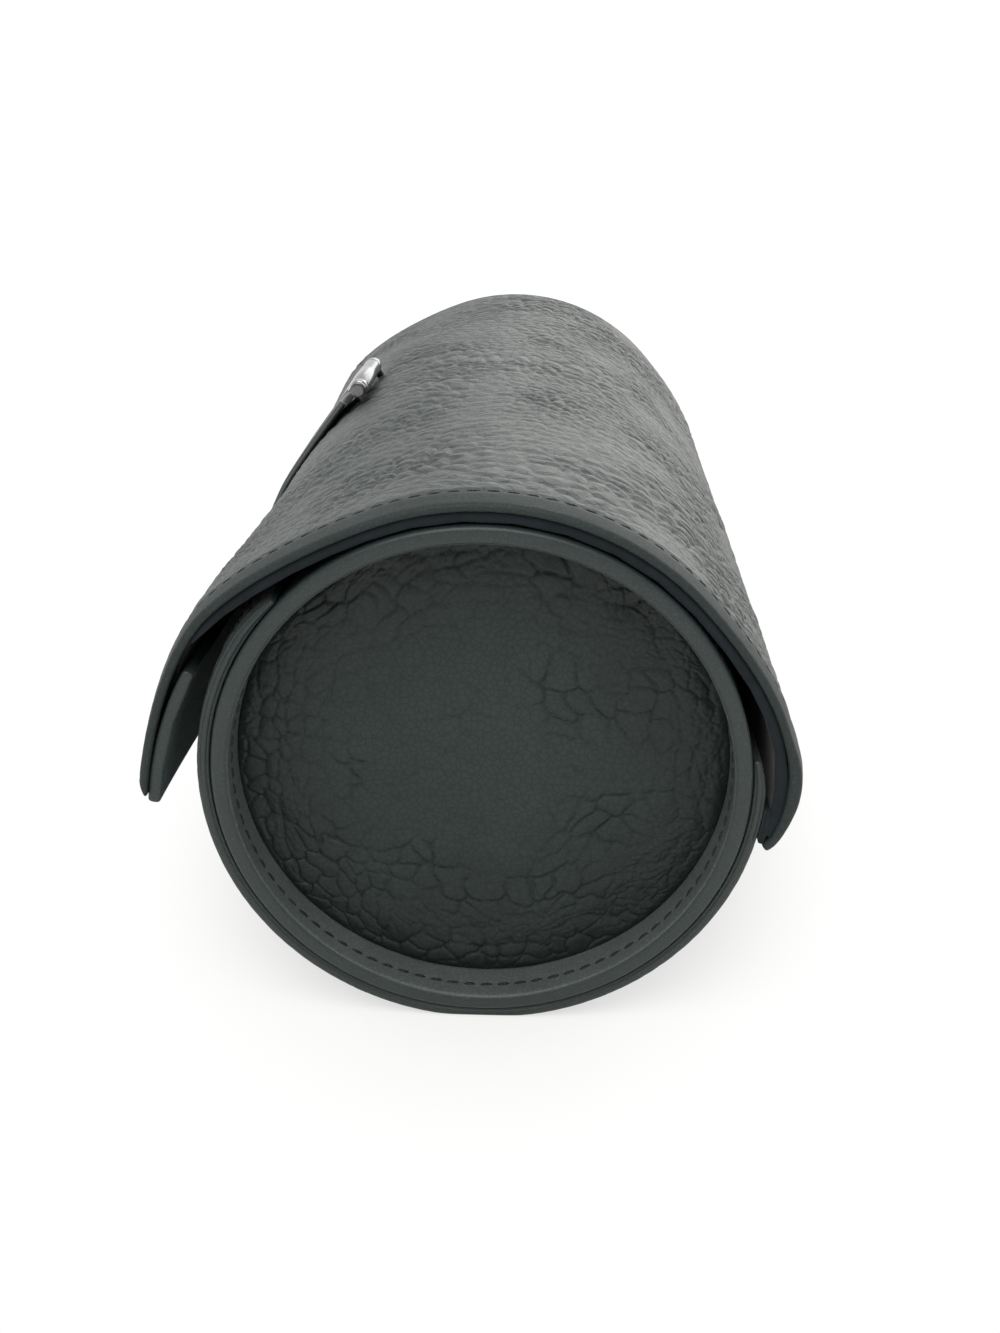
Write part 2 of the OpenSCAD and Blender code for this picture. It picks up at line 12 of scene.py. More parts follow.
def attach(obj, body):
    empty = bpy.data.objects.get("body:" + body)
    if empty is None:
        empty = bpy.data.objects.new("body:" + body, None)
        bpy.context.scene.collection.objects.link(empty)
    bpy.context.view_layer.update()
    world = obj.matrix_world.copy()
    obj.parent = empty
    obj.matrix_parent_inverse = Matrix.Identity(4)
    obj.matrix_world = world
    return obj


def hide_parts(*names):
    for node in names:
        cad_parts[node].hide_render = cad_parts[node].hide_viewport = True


bl_info = {
    "name": "Watch Roll",
    "version": (1, 0, 0),
    "blender": (4, 5, 0),
    "location": "View3D > Sidebar > Watch Roll",
    "description": "Builds the leather, lining, cushions and hardware of a round watch roll",
    "category": "Add Mesh",
}

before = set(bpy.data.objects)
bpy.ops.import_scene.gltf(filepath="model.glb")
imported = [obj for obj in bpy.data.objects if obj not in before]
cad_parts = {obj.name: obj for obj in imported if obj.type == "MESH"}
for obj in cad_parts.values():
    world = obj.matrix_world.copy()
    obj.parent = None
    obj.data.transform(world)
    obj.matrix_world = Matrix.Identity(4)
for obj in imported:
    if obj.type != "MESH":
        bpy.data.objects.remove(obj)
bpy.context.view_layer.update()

MM = 0.001
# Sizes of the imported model, in millimetres: section coordinates are [across, up] from the axis
AXIS_H = 44.7
HALF = 100.0
WRAP_R = 45.5
CROWN_R = 46.15
DISC_R = 40.15
DISC_DEPTH = 7.35
DISC_BACK = 8.5
LINING_R = 43.12
RIM_BORE_R = 40.1
RIM_OUT_R = 42.95
HINGE_A = -13.0
HINGE = np.array([45.7954, -10.5727])
PIN = np.array([-29.033, 43.9691])
TRACK_R = 94.733
CLOSURE_A = 182.4
BAY_PITCH = 59.0
CUSHION_LOW = 41.9
# The inner face of a sheet has one point for every STEP points of its outer face
STEP = 5
ENDS = (("front", 1), ("rear", -1))


# Settings


def number(name, text, default, low, high, **kind):
    """A setting with its description, default and range."""
    return FloatProperty(name=name, description=text, default=default, min=low, max=high, **kind)


def length(*facts):
    """A setting in metres."""
    return number(*facts, subtype="DISTANCE", unit="LENGTH")


def colour(name, text, default):
    """A setting for a linear colour."""
    return FloatVectorProperty(
        name=name, description=text, default=default, min=0, max=1, size=3, subtype="COLOR"
    )


class RollLeather(bpy.types.PropertyGroup):
    lid_thick: length("Lid thickness", "Outer leather of the lid", 0.0021, 0.0015, 0.0026)
    edge_round: length("Edge rounding", "Rounding of a painted edge", 0.0009, 0.0003, 0.001)
    pebble: length("Pebble size", "Width of one pebble on the end discs", 0.0054, 0.002, 0.009)
    crease: length("Crease depth", "Depth of the creases between pebbles", 0.00055, 0, 0.0009)
    hide: colour("Hide", "Colour of the grained leather", (0.030, 0.040, 0.038))
    # The end discs' colour is the hide darkened, as painted shade of their recess
    disc: colour("Disc", "Colour of the end discs", (0.0195, 0.0275, 0.0270))
    paint: colour("Edge paint", "Colour of the painted edges", (0.027, 0.038, 0.038))


class RollThread(bpy.types.PropertyGroup):
    pitch: length("Stitch pitch", "Distance from one stitch to the next", 0.0029, 0.002, 0.005)
    stitch: length("Stitch length", "Length of a stitch on show", 0.0022, 0.001, 0.004)
    thread: length("Thread", "Thickness of the thread", 0.00055, 0.0003, 0.001)
    inset: length("Stitch inset", "Distance of the lid's stitches from its edge", 0.0050, 0.002, 0.008)


class RollInside(bpy.types.PropertyGroup):
    width: length("Cushion width", "Width of a cushion across the roll", 0.058, 0.05, 0.06)
    height: length("Cushion height", "Height of a cushion", 0.052, 0.044, 0.054)
    reach: length("Cushion length", "Length of a cushion along the roll", 0.053, 0.05, 0.055)
    suede: colour("Suede", "Colour of the lining and cushions", (0.014, 0.018, 0.021))


class RollStage(bpy.types.PropertyGroup):
    lens: number("Lens", "Focal length of the camera", 37.48, 20, 90)
    sky: number("Sky", "Strength of the soft light all round", 0.76, 0, 2)
    lamp: number("Lamp", "Power of the lamp behind", 4.2, 0, 60)


# Patterns


def bell(x, width):
    """1 at 0, falling to 0 on both sides."""
    return np.exp(-((x / width) ** 2))


def fall(x):
    """1 at 0, falling evenly to 0 at 1."""
    return np.clip(1 - x, 0, 1)


def chance(i, j, seed):
    """A fixed random number from 0 to 1 for each pair of whole numbers."""
    return np.mod(np.sin(i * 127.1 + j * 311.7 + seed * 74.7) * 43758.5453, 1.0)


def swell(u, v, seed):
    """Smooth noise from -1 to 1: random lattice values joined by smoothstep in both directions."""
    i, j = np.floor(u), np.floor(v)
    a, b = u - i, v - j
    a, b = a * a * (3 - 2 * a), b * b * (3 - 2 * b)
    low = chance(i, j, seed) * (1 - a) + chance(i + 1, j, seed) * a
    high = chance(i, j + 1, seed) * (1 - a) + chance(i + 1, j + 1, seed) * a
    return 2 * (low * (1 - b) + high * b) - 1


def cells(u, v, seed):
    """Distances to the nearest and second nearest of seeds scattered one to a unit square."""
    i, j = np.floor(u), np.floor(v)
    near = np.full(u.shape, 9.0)
    second = near.copy()
    for a in (-1, 0, 1):
        for b in (-1, 0, 1):
            x = i + a + 0.1 + 0.8 * chance(i + a, j + b, seed)
            y = j + b + 0.1 + 0.8 * chance(i + a, j + b, seed + 5)
            d = np.hypot(x - u, y - v)
            second = np.minimum(second, np.maximum(near, d))
            near = np.minimum(near, d)
    return near, second


def pebbled(u, v, crease, pillow, seed):
    """Height of a pebbled hide: domed cells, parted by creases that fade in and out."""
    wu = u + 0.7 * swell(u / 2.6, v / 2.6, seed) + 0.2 * swell(u * 1.7, v * 1.7, seed + 1)
    wv = v + 0.7 * swell(u / 2.6, v / 2.6, seed + 2) + 0.2 * swell(u * 1.7, v * 1.7, seed + 3)
    near, second = cells(wu, wv, seed)
    fade = np.clip(0.5 + 1.0 * swell(u / 1.7, v / 1.7, seed + 4), 0.05, 1.15)
    small, small2 = cells(wu * 2.3, wv * 2.3, seed + 6)
    fine = 0.4 * bell(small2 - small, 0.16) * np.clip(1.1 - fade, 0, 1)
    return pillow * (0.5 - near**2) - crease * (bell(second - near, 0.075) * fade + fine)


def wrinkled(s, y, seed=3.0):
    """Height in mm of the lid's hide: flat pebbles stretched round the roll, and soft folds."""
    u = s / 3.3 + 1.2 * swell(s / 17, y / 17, seed)
    v = y / 3.3 + 1.2 * swell(s / 23, y / 15, seed + 1)
    patch = np.clip(0.85 + 0.65 * swell(s / 11, y / 15, seed + 2), 0.4, 1.35)
    near, second = cells(u + 0.3 * swell(u, v, seed), v + 0.3 * swell(u, v, seed + 3), seed)
    coarse = 0.42 * (0.45 - near**2) - 0.30 * bell(second - near, 0.24)
    ripple = 0.05 * swell(s / 3.4, y / 2.2, seed + 6)
    folds = 0.10 * swell(s / 11, y / 4.6, seed + 8)
    return (coarse + ripple + folds) * patch + 0.14 * swell(s / 30, y / 22, seed + 9)


# Curves


def stack(*parts):
    """Numbers that belong together, side by side on a new last axis."""
    return np.stack(np.broadcast_arrays(*parts), -1)


def polar(r, a):
    """Section points at a radius and at degrees counterclockwise from the right."""
    a = np.radians(a)
    return stack(r * np.cos(a), r * np.sin(a))


def circle(n):
    """n even angles once round, in radians."""
    return np.linspace(0, 2 * np.pi, n, endpoint=False)


def lean(a):
    """Heading that leans right of straight up by an angle."""
    a = np.radians(a)
    return stack(np.sin(a), np.cos(a))


def unit(v):
    """Vectors scaled to a length of 1."""
    return v / np.linalg.norm(v, axis=-1, keepdims=True)


def mix(a, b, t):
    """From a at t = 0 evenly to b at t = 1."""
    return a + (b - a) * t


def cubic(p, u, q, v, n):
    """n points of the cubic that leaves p along u and reaches q along v, without q itself."""
    t = (np.arange(n) / n)[:, None]
    p, u, q, v = (np.atleast_2d(x)[:, None, :] for x in (p, u, q, v))
    s = 1 - t
    return s**3 * p + 3 * s * s * t * (p + u) + 3 * s * t * t * (q - v) + t**3 * q


def beside(path, amount):
    """A path moved to its left by an amount: each point goes along the normal there."""
    d = np.gradient(path, axis=-2)
    return path + unit(stack(-d[..., 1], d[..., 0])) * np.asarray(amount)[..., None]


def run(path):
    """Length along a path at each of its points."""
    step = np.linalg.norm(np.diff(path, axis=-2), axis=-1)
    return np.concatenate([np.zeros(step.shape[:-1] + (1,)), np.cumsum(step, -1)], -1)


def point_at(at, s, path):
    """What path holds at lengths at, where its own rows stand at lengths s."""
    return stack(*(np.interp(at, s, column) for column in path.T))


def waist(y):
    """How far the strap draws the lid in: 1 under it, falling as a cosine to 0 at the ends."""
    flat = 14.975
    return (1 + np.cos(np.pi * np.maximum(0, np.abs(y) - flat) / (HALF - flat))) / 2


def lid_line(w, counts=(45, 60, 78, 57, 20)):
    """Middle of the lid's leather for each waist share w: cubics from the free edge to the
    shoulder, on to the rims, round the crown, down to the fold and into the hinge."""
    w = np.atleast_1d(w)
    one = np.ones((len(w), 1))
    pull = WRAP_R * np.array([0.198, 0.185, 0.55, 0.286, 0.215, 0.116, 0.053])
    tip = polar(WRAP_R + mix(8.8, 5.6, w), 181.0)
    shoulder = polar(WRAP_R + mix(5.5, 3.4, w), 147.5)
    shoulder_way = lean(mix(42, 33.4, w))
    shoulder_pull = mix(pull[0], pull[2], w)[:, None] * shoulder_way
    rise_a, fall_a = mix(109.5, 92.5, w), 42.0
    rise, rise_pull = polar(CROWN_R, rise_a), pull[0] * lean(180 - rise_a)
    fold = one * [49.1, 0.042 * WRAP_R]
    end = one * (HINGE + 0.35 * lean(59.0))
    t = np.arange(counts[2]) / counts[2]
    parts = [
        cubic(tip, pull[0] * lean(mix(8.6, 3, w)), shoulder, pull[1] * shoulder_way, counts[0]),
        cubic(shoulder, shoulder_pull, rise, rise_pull, counts[1]),
        polar(CROWN_R, mix(rise_a[:, None], fall_a, t)),
        cubic(polar(CROWN_R, fall_a), pull[3] * lean(180 - fall_a), fold, [0, -pull[4]], counts[3]),
        cubic(fold, [0, -pull[5]], end, pull[6] * lean(239.0), counts[4]),
        end[:, None],
    ]
    return np.concatenate(parts, 1)


def past_tip(line, amount, n):
    """Lines drawn out straight beyond their first point by an amount each, with n more points."""
    way = unit(line[:, 1] - line[:, 0]) * np.maximum(amount, 1e-3)[:, None]
    steps = np.arange(n, 0, -1)[:, None] / n
    return np.concatenate([line[:, :1] - way[:, None] * steps, line], 1)


def places(end, n, round_):
    """Places along the roll from -end to end, close together over the rounding at both, and
    how far each is from the nearer end."""
    near = end - round_ * (1 - np.cos(np.linspace(0, np.pi / 2, 7)))
    inner = end - 1.6 * round_
    y = np.concatenate([-near, np.linspace(-inner, inner, n), near[::-1]])
    return y, end - np.abs(y)


def rounded(w, h, r, n):
    """Closed outline of a rectangle from the origin, its corners rounded, counterclockwise."""
    corners = [(w - r, h - r), (r, h - r), (r, r), (w - r, r)]
    turns = [at + polar(r, np.linspace(90 * k, 90 * k + 90, n)) for k, at in enumerate(corners)]
    return np.concatenate(turns)


def aligned(origin, way, outline):
    """An outline whose first axis is laid along a way from an origin, the second to its right."""
    return origin + outline[:, :1] * way + outline[:, 1:] * np.array([way[1], -way[0]])


# Meshes


def in_frame(section, y):
    """Section points [across, up] in mm at places y along the roll, as metres in the frame."""
    return stack(section[..., 0], y, section[..., 1] + AXIS_H) * MM


def placing(section, y, angle, axis):
    """A 4 x 4 matrix that turns a piece and sets it at a section point and a place y."""
    at = Matrix.Translation((section[0] * MM, y * MM, (AXIS_H + section[1]) * MM))
    return at @ Matrix.Rotation(math.radians(angle), 4, axis)


def front_end(side):
    """Places an end's piece: its height grows outward from the front (1) or rear (-1) end."""
    return placing((0, 0), -side * HALF, 90 * side, "X")


def placed(points, place):
    """Points in mm, moved by a placing matrix, in metres."""
    return (points * MM) @ np.array(place.to_3x3()).T + np.array(place.translation)


def make(name, points, faces, zones=None, uv=None, materials=()):
    """A smooth mesh object from points and faces, with a material for each face's zone."""
    mesh = bpy.data.meshes.new(name)
    mesh.from_pydata(points.reshape(-1, 3).tolist(), [], faces)
    if zones is not None:
        mesh.polygons.foreach_set("material_index", np.asarray(zones, np.int32))
    if uv is not None:
        layer = mesh.uv_layers.new(name="hide")
        corner = np.empty(len(mesh.loops), np.int32)
        mesh.loops.foreach_get("vertex_index", corner)
        layer.data.foreach_set("uv", uv.reshape(-1, 2)[corner].astype(np.float32).ravel())
    for material in materials:
        mesh.materials.append(material)
    mesh.shade_smooth()
    mesh.update()
    piece = bpy.data.objects.new(name, mesh)
    bpy.context.scene.collection.objects.link(piece)
    return piece


def weld(piece):
    """Merges the doubled points at a piece's poles and turns its faces outward."""
    work = bmesh.new()
    work.from_mesh(piece.data)
    bmesh.ops.remove_doubles(work, verts=work.verts, dist=1e-6)
    bmesh.ops.recalc_face_normals(work, faces=work.faces)
    work.to_mesh(piece.data)
    work.free()
    piece.data.shade_smooth()
    return piece


def grid_faces(rows, columns, round_rows=False, round_columns=True):
    """Quads of a grid of points, which may close on itself in either direction."""
    i, j = np.indices((rows - (not round_rows), columns - (not round_columns)))
    down, right = (i + 1) % rows, (j + 1) % columns
    i, down = i * columns, down * columns
    return stack(i + j, i + right, down + right, down + j).reshape(-1, 4)


def tube_faces(rows, columns):
    """Faces of rings of points joined to a tube, and a face over each end."""
    last = (rows - 1) * columns
    ends = [[*range(columns)][::-1], [*range(last, last + columns)]]
    return grid_faces(rows, columns).tolist() + ends


def leather(name, outer, inner, y, edge, materials, round_, blunt=0.25, front_out=0.0):
    """A closed sheet between two families of lines, one line for each place y along the roll.

    outer and inner are (places, points, 2). Inner takes every STEP-th point. The ends of the
    lines are closed by half rounds, and towards the first and last place the sheet thins to
    its middle as a superellipse of the distance to the edge. edge is that distance."""
    middle = (outer + inner) / 2
    back = inner[:, ::-1][:, ::STEP]
    theta = np.linspace(0, np.pi, 9)[1:-1, None]
    c, s = np.cos(theta), np.sin(theta) ** 0.7
    c = np.sign(c) * np.abs(c) ** 0.7

    def cap(at, before, out, under):
        half = (out - under) / 2
        way = unit(at - before) * np.linalg.norm(half, axis=-1, keepdims=True) * 0.8
        return at[:, None] + half[:, None] * c + way[:, None] * s

    hem = cap(middle[:, -1], middle[:, -2], outer[:, -1], back[:, 0])
    tip = cap(middle[:, 0], middle[:, 1], outer[:, 0], back[:, -1])[:, ::-1]
    loop = np.concatenate([outer, hem, back, tip], 1)
    hold = np.ones_like(theta)
    core = [middle, middle[:, -1:] * hold, middle[:, ::-1][:, ::STEP], middle[:, :1] * hold]
    core = np.concatenate(core, 1)
    full = np.maximum((1 - fall(edge / round_) ** 3) ** (1 / 2.2), blunt)[:, None, None]
    points = in_frame(core + (loop - core) * full, y[:, None])

    rows, columns = loop.shape[:2]
    n, m = outer.shape[1], back.shape[1]
    behind = n + len(theta)
    column = np.arange(columns)
    side = np.where((column >= behind) & (column < behind + m - 1), 2, 1)
    side = np.where(column < n - 1, 0, side)
    painted = (edge[:-1] + edge[1:]) / 2 < round_ + front_out
    zones = np.where(painted[:, None], 1, side[None, :]).ravel()
    ends = [
        [*range(STEP * k, STEP * (k + 1) + 1), behind + m - 2 - k, behind + m - 1 - k] for k in range(m - 1)
    ]
    ends += [[*range(n - 1, behind + 1)], [*range(behind + m - 1, columns), 0]]
    last = (rows - 1) * columns
    faces = grid_faces(rows, columns)[:, ::-1].tolist()
    faces += ends + [[last + k for k in f[::-1]] for f in ends]
    zones = np.concatenate([zones, np.ones(2 * len(ends), int)])
    s = run(outer[len(outer) // 2])
    u = np.concatenate([s, s[-1] * hold[:, 0], s[::-1][::STEP], 0 * hold[:, 0]])
    uv = stack(u, y[:, None]) * MM
    return make(name, points, faces, zones, uv, materials)


def lathe(name, profile, place, materials, around, zones=None, relief=None):
    """A closed profile [radius, height] turned about an axis given by place, a 4 x 4 matrix."""
    a = circle(around)[:, None]
    r, z = profile[None, :, 0], profile[None, :, 1]
    if relief is not None:
        dr, dz = relief(a, profile)
        r, z = r + dr, z + dz
    points = stack(r * np.cos(a), r * np.sin(a), z)
    faces = grid_faces(around, len(profile), True).tolist()
    zones = None if zones is None else np.tile(zones, around)
    return make(name, placed(points, place), faces, zones, None, materials)


def slab(name, section, first, last, materials):
    """A closed section carried along the roll, its edges at both ends rounded off."""
    round_ = 0.25
    d = np.roll(section, -1, 0) - np.roll(section, 1, 0)
    n = unit(stack(d[:, 1], -d[:, 0]))
    x, y = section.T
    if np.sum(x * np.roll(y, -1) - np.roll(x, -1) * y) < 0:
        n = -n
    t = np.linspace(0, np.pi / 2, 4)
    inset = round_ * np.concatenate([1 - np.sin(t), 1 - np.sin(t[::-1])])
    at = np.concatenate([first + round_ * (1 - np.cos(t)), last - round_ * (1 - np.cos(t[::-1]))])
    points = in_frame(section[None] - n[None] * inset[:, None, None], at[:, None])
    return weld(make(name, points, tube_faces(len(at), len(section)), materials=materials))


def stitches(name, line, normals, start=0.5):
    """A row of stitches along a line of points in mm: each is a thread's length with rounded
    ends, six-sided, lying along the line, a little slanted and half sunk."""
    thread = bpy.context.scene.roll_thread
    pitch, long, thick = thread.pitch / MM, thread.stitch / MM, thread.thread / MM
    s = run(line)
    count = int((s[-1] - start) / pitch)
    at = start + (np.arange(count) + 0.5) * (s[-1] - 2 * start) / count
    centre = point_at(at, s, line)
    up = unit(point_at(at, s, normals))
    way = point_at(at + 0.4, s, line) - point_at(at - 0.4, s, line)
    way = unit(way - up * np.sum(way * up, 1, keepdims=True))
    side = np.cross(up, way)
    slant = np.radians(6 + 3 * (chance(np.arange(count), 3.0, 1.0) - 0.5))[:, None]
    c, s = np.cos(slant), np.sin(slant)
    way, side, up, centre = (
        v[:, None, None] for v in (way * c + side * s, side * c - way * s, up, centre)
    )
    # Rings along a stitch: place, radius and height over the line
    t = (np.array([-1, -0.86, -0.4, 0.4, 0.86, 1.0]) * long / 2)[:, None, None]
    r = (np.array([0.12, 0.72, 1.0, 1.0, 0.72, 0.12]) * thick / 2)[:, None, None]
    lift = (np.array([-0.32, -0.05, 0.12, 0.12, -0.05, -0.32]) * thick)[:, None, None]
    a = circle(6)[:, None]
    points = centre + way * t + up * (lift + 0.85 * r * np.sin(a)) + side * r * np.cos(a)
    faces = [[36 * k + i for i in f] for k in range(count) for f in tube_faces(6, 6)]
    return make(name, (points + [0, 0, AXIS_H]) * MM, faces, materials=finishes("Thread"))


def join(name, pieces):
    """One piece from several, which keeps the first one's materials."""
    for p in bpy.context.selected_objects:
        p.select_set(False)
    for p in pieces:
        p.select_set(True)
    bpy.context.view_layer.objects.active = pieces[0]
    bpy.ops.object.join()
    pieces[0].name = name
    return pieces[0]


# Materials


def fill(tree, n, **inputs):
    """Gives a node's inputs values or other nodes' sockets. i0 is its first input, and names in
    small letters set the node itself."""
    for key, value in inputs.items():
        by_place = key[0] == "i" and key[1:].isdigit()
        if key.islower() and not by_place:
            setattr(n, key, value)
            continue
        target = n.inputs[int(key[1:]) if by_place else key.replace("_", " ")]
        if isinstance(value, bpy.types.NodeSocket):
            tree.links.new(value, target)
        else:
            target.default_value = value
    return n


def node(tree, kind, **inputs):
    """Adds a shader node and gives its outputs."""
    return fill(tree, tree.nodes.new("ShaderNode" + kind), **inputs).outputs


def maths(tree, operation, *values, clamp=False):
    """The result of a Math node, as a socket."""
    inputs = {f"i{k}": value for k, value in enumerate(values)}
    return node(tree, "Math", operation=operation, use_clamp=clamp, **inputs)[0]


def spread_by(tree, vector, factors):
    """How far a vector, stretched by factors, is from the origin."""
    stretched = node(tree, "VectorMath", operation="MULTIPLY", i0=vector, i1=factors)[0]
    return node(tree, "VectorMath", operation="LENGTH", i0=stretched)["Value"]


def ramp(tree, value, low, high, first, last):
    """From first where a value is low evenly to last where it is high."""
    return node(tree, "MapRange", Value=value, i1=low, i2=high, i3=first, i4=last)[0]


def linear(tree, value, factor, offset):
    """A value times a factor, plus an offset."""
    return maths(tree, "MULTIPLY_ADD", value, factor, offset)


def noise(tree, vector, scale, detail, **more):
    """Outputs of a Noise Texture: a value and a colour."""
    return node(tree, "TexNoise", Vector=vector, Scale=scale, Detail=detail, **more)


def scaled(tree, tint, scale):
    """A colour times a number."""
    return node(tree, "VectorMath", operation="SCALE", i0=tint, Scale=scale)[0]


def dress(tree, surface, tint, rough, height, strength, depth):
    """Gives a shader its colour, its roughness and a relief as deep as depth, in metres."""
    bump = node(tree, "Bump", Strength=strength, Distance=depth, Height=height)[0]
    fill(tree, surface, Base_Color=tint, Roughness=rough, Normal=bump)


def group(name, inputs, outputs):
    """A new shader group from the (name, kind, default) of its inputs and (name, kind) of its
    outputs: its tree, the inputs as sockets and the node that takes the outputs."""
    tree = bpy.data.node_groups.new(name, "ShaderNodeTree")
    for key, kind, default in inputs:
        socket = tree.interface.new_socket(key, in_out="INPUT", socket_type="NodeSocket" + kind)
        if default is not None:
            socket.default_value = default
    for key, kind in outputs:
        tree.interface.new_socket(key, in_out="OUTPUT", socket_type="NodeSocket" + kind)
    return tree, tree.nodes.new("NodeGroupInput").outputs, tree.nodes.new("NodeGroupOutput")


def shared(tree, name, build, **inputs):
    """Outputs of a shared group, which build makes on first use."""
    made = tree.nodes.new("ShaderNodeGroup")
    made.node_tree = bpy.data.node_groups.get(name) or build(name)
    return fill(tree, made, **inputs).outputs


def grain_group(name):
    """Fine leather grain: small cells parted by creases over a soft unevenness."""
    tree, a, end = group(
        name,
        [("Vector", "Vector", None), ("Cells", "Float", 900.0), ("Crease", "Float", 0.18)],
        [("Height", "Float"), ("Mask", "Float"), ("Tone", "Float")],
    )
    vector = a["Vector"]
    drift = noise(tree, vector, 260.0, 2.0)["Color"]
    move = node(tree, "VectorMath", operation="MULTIPLY", i0=drift, i1=(0.0011, 0.0011, 0.0011))[0]
    place = node(tree, "VectorMath", i0=vector, i1=move)[0]
    edge = node(tree, "TexVoronoi", feature="DISTANCE_TO_EDGE", Vector=place, Scale=a["Cells"])
    top = maths(tree, "POWER", maths(tree, "DIVIDE", edge["Distance"], a["Crease"], clamp=True), 0.5)
    fine = noise(tree, vector, 3800.0, 3.0)[0]
    tone = noise(tree, vector, 55.0, 4.0, Roughness=0.6)[0]
    fill(tree, end, Height=linear(tree, fine, 0.25, top), Mask=top, Tone=tone)
    return tree


def nap_group(name):
    """Short nap of suede: brushed patches lighter and darker, and a fibrous surface."""
    tree, a, end = group(
        name,
        [("Vector", "Vector", None), ("Color", "Color", (0.014, 0.018, 0.021, 1))],
        [("Color", "Color"), ("Height", "Float")],
    )
    brush = noise(tree, a["Vector"], 70.0, 5.0, Roughness=0.65, Distortion=1.2)[0]
    tint = scaled(tree, a["Color"], linear(tree, brush, 1.5, 0.3))
    fill(tree, end, Color=tint, Height=noise(tree, a["Vector"], 5200.0, 2.0)[0])
    return tree


def shader(name, **sockets):
    """A new material: its tree, its Principled shader and the Texture Coordinate outputs."""
    material = bpy.data.materials.new(name)
    material.use_nodes = True
    tree = material.node_tree
    return material, tree, fill(tree, tree.nodes["Principled BSDF"], **sockets), node(tree, "TexCoord")


def painted_recess_shade(tree, vector):
    """Painted shade of an end disc's recess: a factor on its colour, highest in its middle and falling
    towards its rim.
    """
    flat = node(tree, "VectorMath", i0=vector, i1=(0, 0, -AXIS_H * MM))[0]
    return ramp(tree, spread_by(tree, flat, (1, 0, 1)), 0.010, 0.036, 1.28, 0.82)


def grained(
    name, hide, rough, cells_per_m, depth, spread, specular, by_uv=False, sheen=0.0, crease=0.18, shade_recess=False
):
    """Leather: grain in its relief, a random tone, and painted shade that darkens the creases against the
    tops; the creases are also duller.
    """
    material, tree, surface, where = shader(
        name, Specular_IOR_Level=specular, Sheen_Weight=sheen, Sheen_Roughness=0.45
    )
    vector = where["UV" if by_uv else "Object"]
    grain = shared(tree, "Leather grain", grain_group, Vector=vector, Cells=cells_per_m, Crease=crease)
    tone = linear(tree, grain["Tone"], spread * 2, 1 - spread)
    # The end discs take painted shade of their recess, darker towards the rim
    if shade_recess:
        tone = maths(tree, "MULTIPLY", tone, painted_recess_shade(tree, vector))
    # Painted shade: the colour darkens in the grain's creases
    tone = maths(tree, "MULTIPLY", tone, linear(tree, grain["Mask"], 0.35, 0.7))
    dull = linear(tree, grain["Mask"], -0.06, linear(tree, grain["Tone"], 0.16, rough - 0.08))
    dress(tree, surface, scaled(tree, tuple(hide), tone), dull, grain["Height"], 1.0, depth)
    return material


def napped(name, suede, sheen=0.14):
    """Suede: a matt nap, lighter where it is brushed and at grazing angles."""
    material, tree, surface, where = shader(
        name, Specular_IOR_Level=0.15, Sheen_Weight=sheen, Sheen_Roughness=0.35
    )
    nap = shared(tree, "Suede nap", nap_group, Vector=where["Object"], Color=(*suede, 1))
    dress(tree, surface, nap["Color"], 0.92, nap["Height"], 0.7, 0.00012)
    return material


def twisted(tree, vector):
    """Strands of a waxed thread, across it."""
    way = "DIAGONAL"
    twist = node(tree, "TexWave", bands_direction=way, Vector=vector, Scale=900.0, Distortion=2.0)["Fac"]
    return twist, twist


def turned(tree, vector):
    """Polished steel: a few worn, duller patches, and fine turning lines."""
    lines = node(tree, "Mapping", Vector=vector, Scale=(300.0, 9000.0, 300.0))[0]
    return noise(tree, vector, 420.0, 4.0)[0], noise(tree, lines, 1.0, 2.0)[0]


def fibrous(tree, vector):
    """Pressed fibre board: a mottle of fibres."""
    mottle = noise(tree, vector, 1400.0, 6.0)[0]
    return mottle, mottle


def patterned(name, pattern, dark, light, rough, relief, **sockets):
    """A finish whose colour and roughness follow a pattern's mask, and its relief the height."""
    material, tree, surface, where = shader(name, **sockets)
    mask, height = pattern(tree, where["Object"])
    tint = node(tree, "Mix", data_type="RGBA", Factor=mask, i6=(*dark, 1), i7=(*light, 1))[2]
    dress(tree, surface, tint, linear(tree, mask, *rough), height, *relief)
    return material


def steel(name, dark, light):
    """Turned steel between two greys that lean to blue."""
    dark, light = (dark, dark, dark * 1.03), (light, light, light * 1.02)
    return patterned(name, turned, dark, light, (0.16, 0.12), (0.25, 0.00005), Metallic=1.0)


# Painted finishes: factor and lift of the paint's colour, roughness, cells of the grain in a
# metre, their depth, spread of the tone and specular level
PAINTED = {
    "Edge paint": (1.0, 0.0, 0.44, 1500.0, 0.000018, 0.15, 0.42),
    # The rim's inner wall is painted lighter, as painted light reaching into the recess
    "Rim wall painted lighter": (1.3, 0.06, 0.5, 1200.0, 0.00003, 0.3, 0.4),
    # The strap's edge paint is lighter, a painted highlight where its rounding catches the light
    "Strap edge painted lighter": (1.2, 0.062, 0.5, 1500.0, 0.000018, 0.15, 0.4),
    "Lid edge": (0.85, 0.007, 0.55, 1500.0, 0.000018, 0.15, 0.2),
    "Facing back": (2.0, 0.0, 0.8, 1200.0, 0.00003, 0.3, 0.06),
}
# A pattern, its dark and light colour, factor and offset of the roughness, strength and depth of
# the relief
WAX = twisted, (0.006, 0.007, 0.008), (0.016, 0.018, 0.019), (0.2, 0.5), (0.6, 0.0001)
BOARD = fibrous, (0.12, 0.115, 0.10), (0.22, 0.21, 0.18), (0.1, 0.8), (0.4, 0.0001)


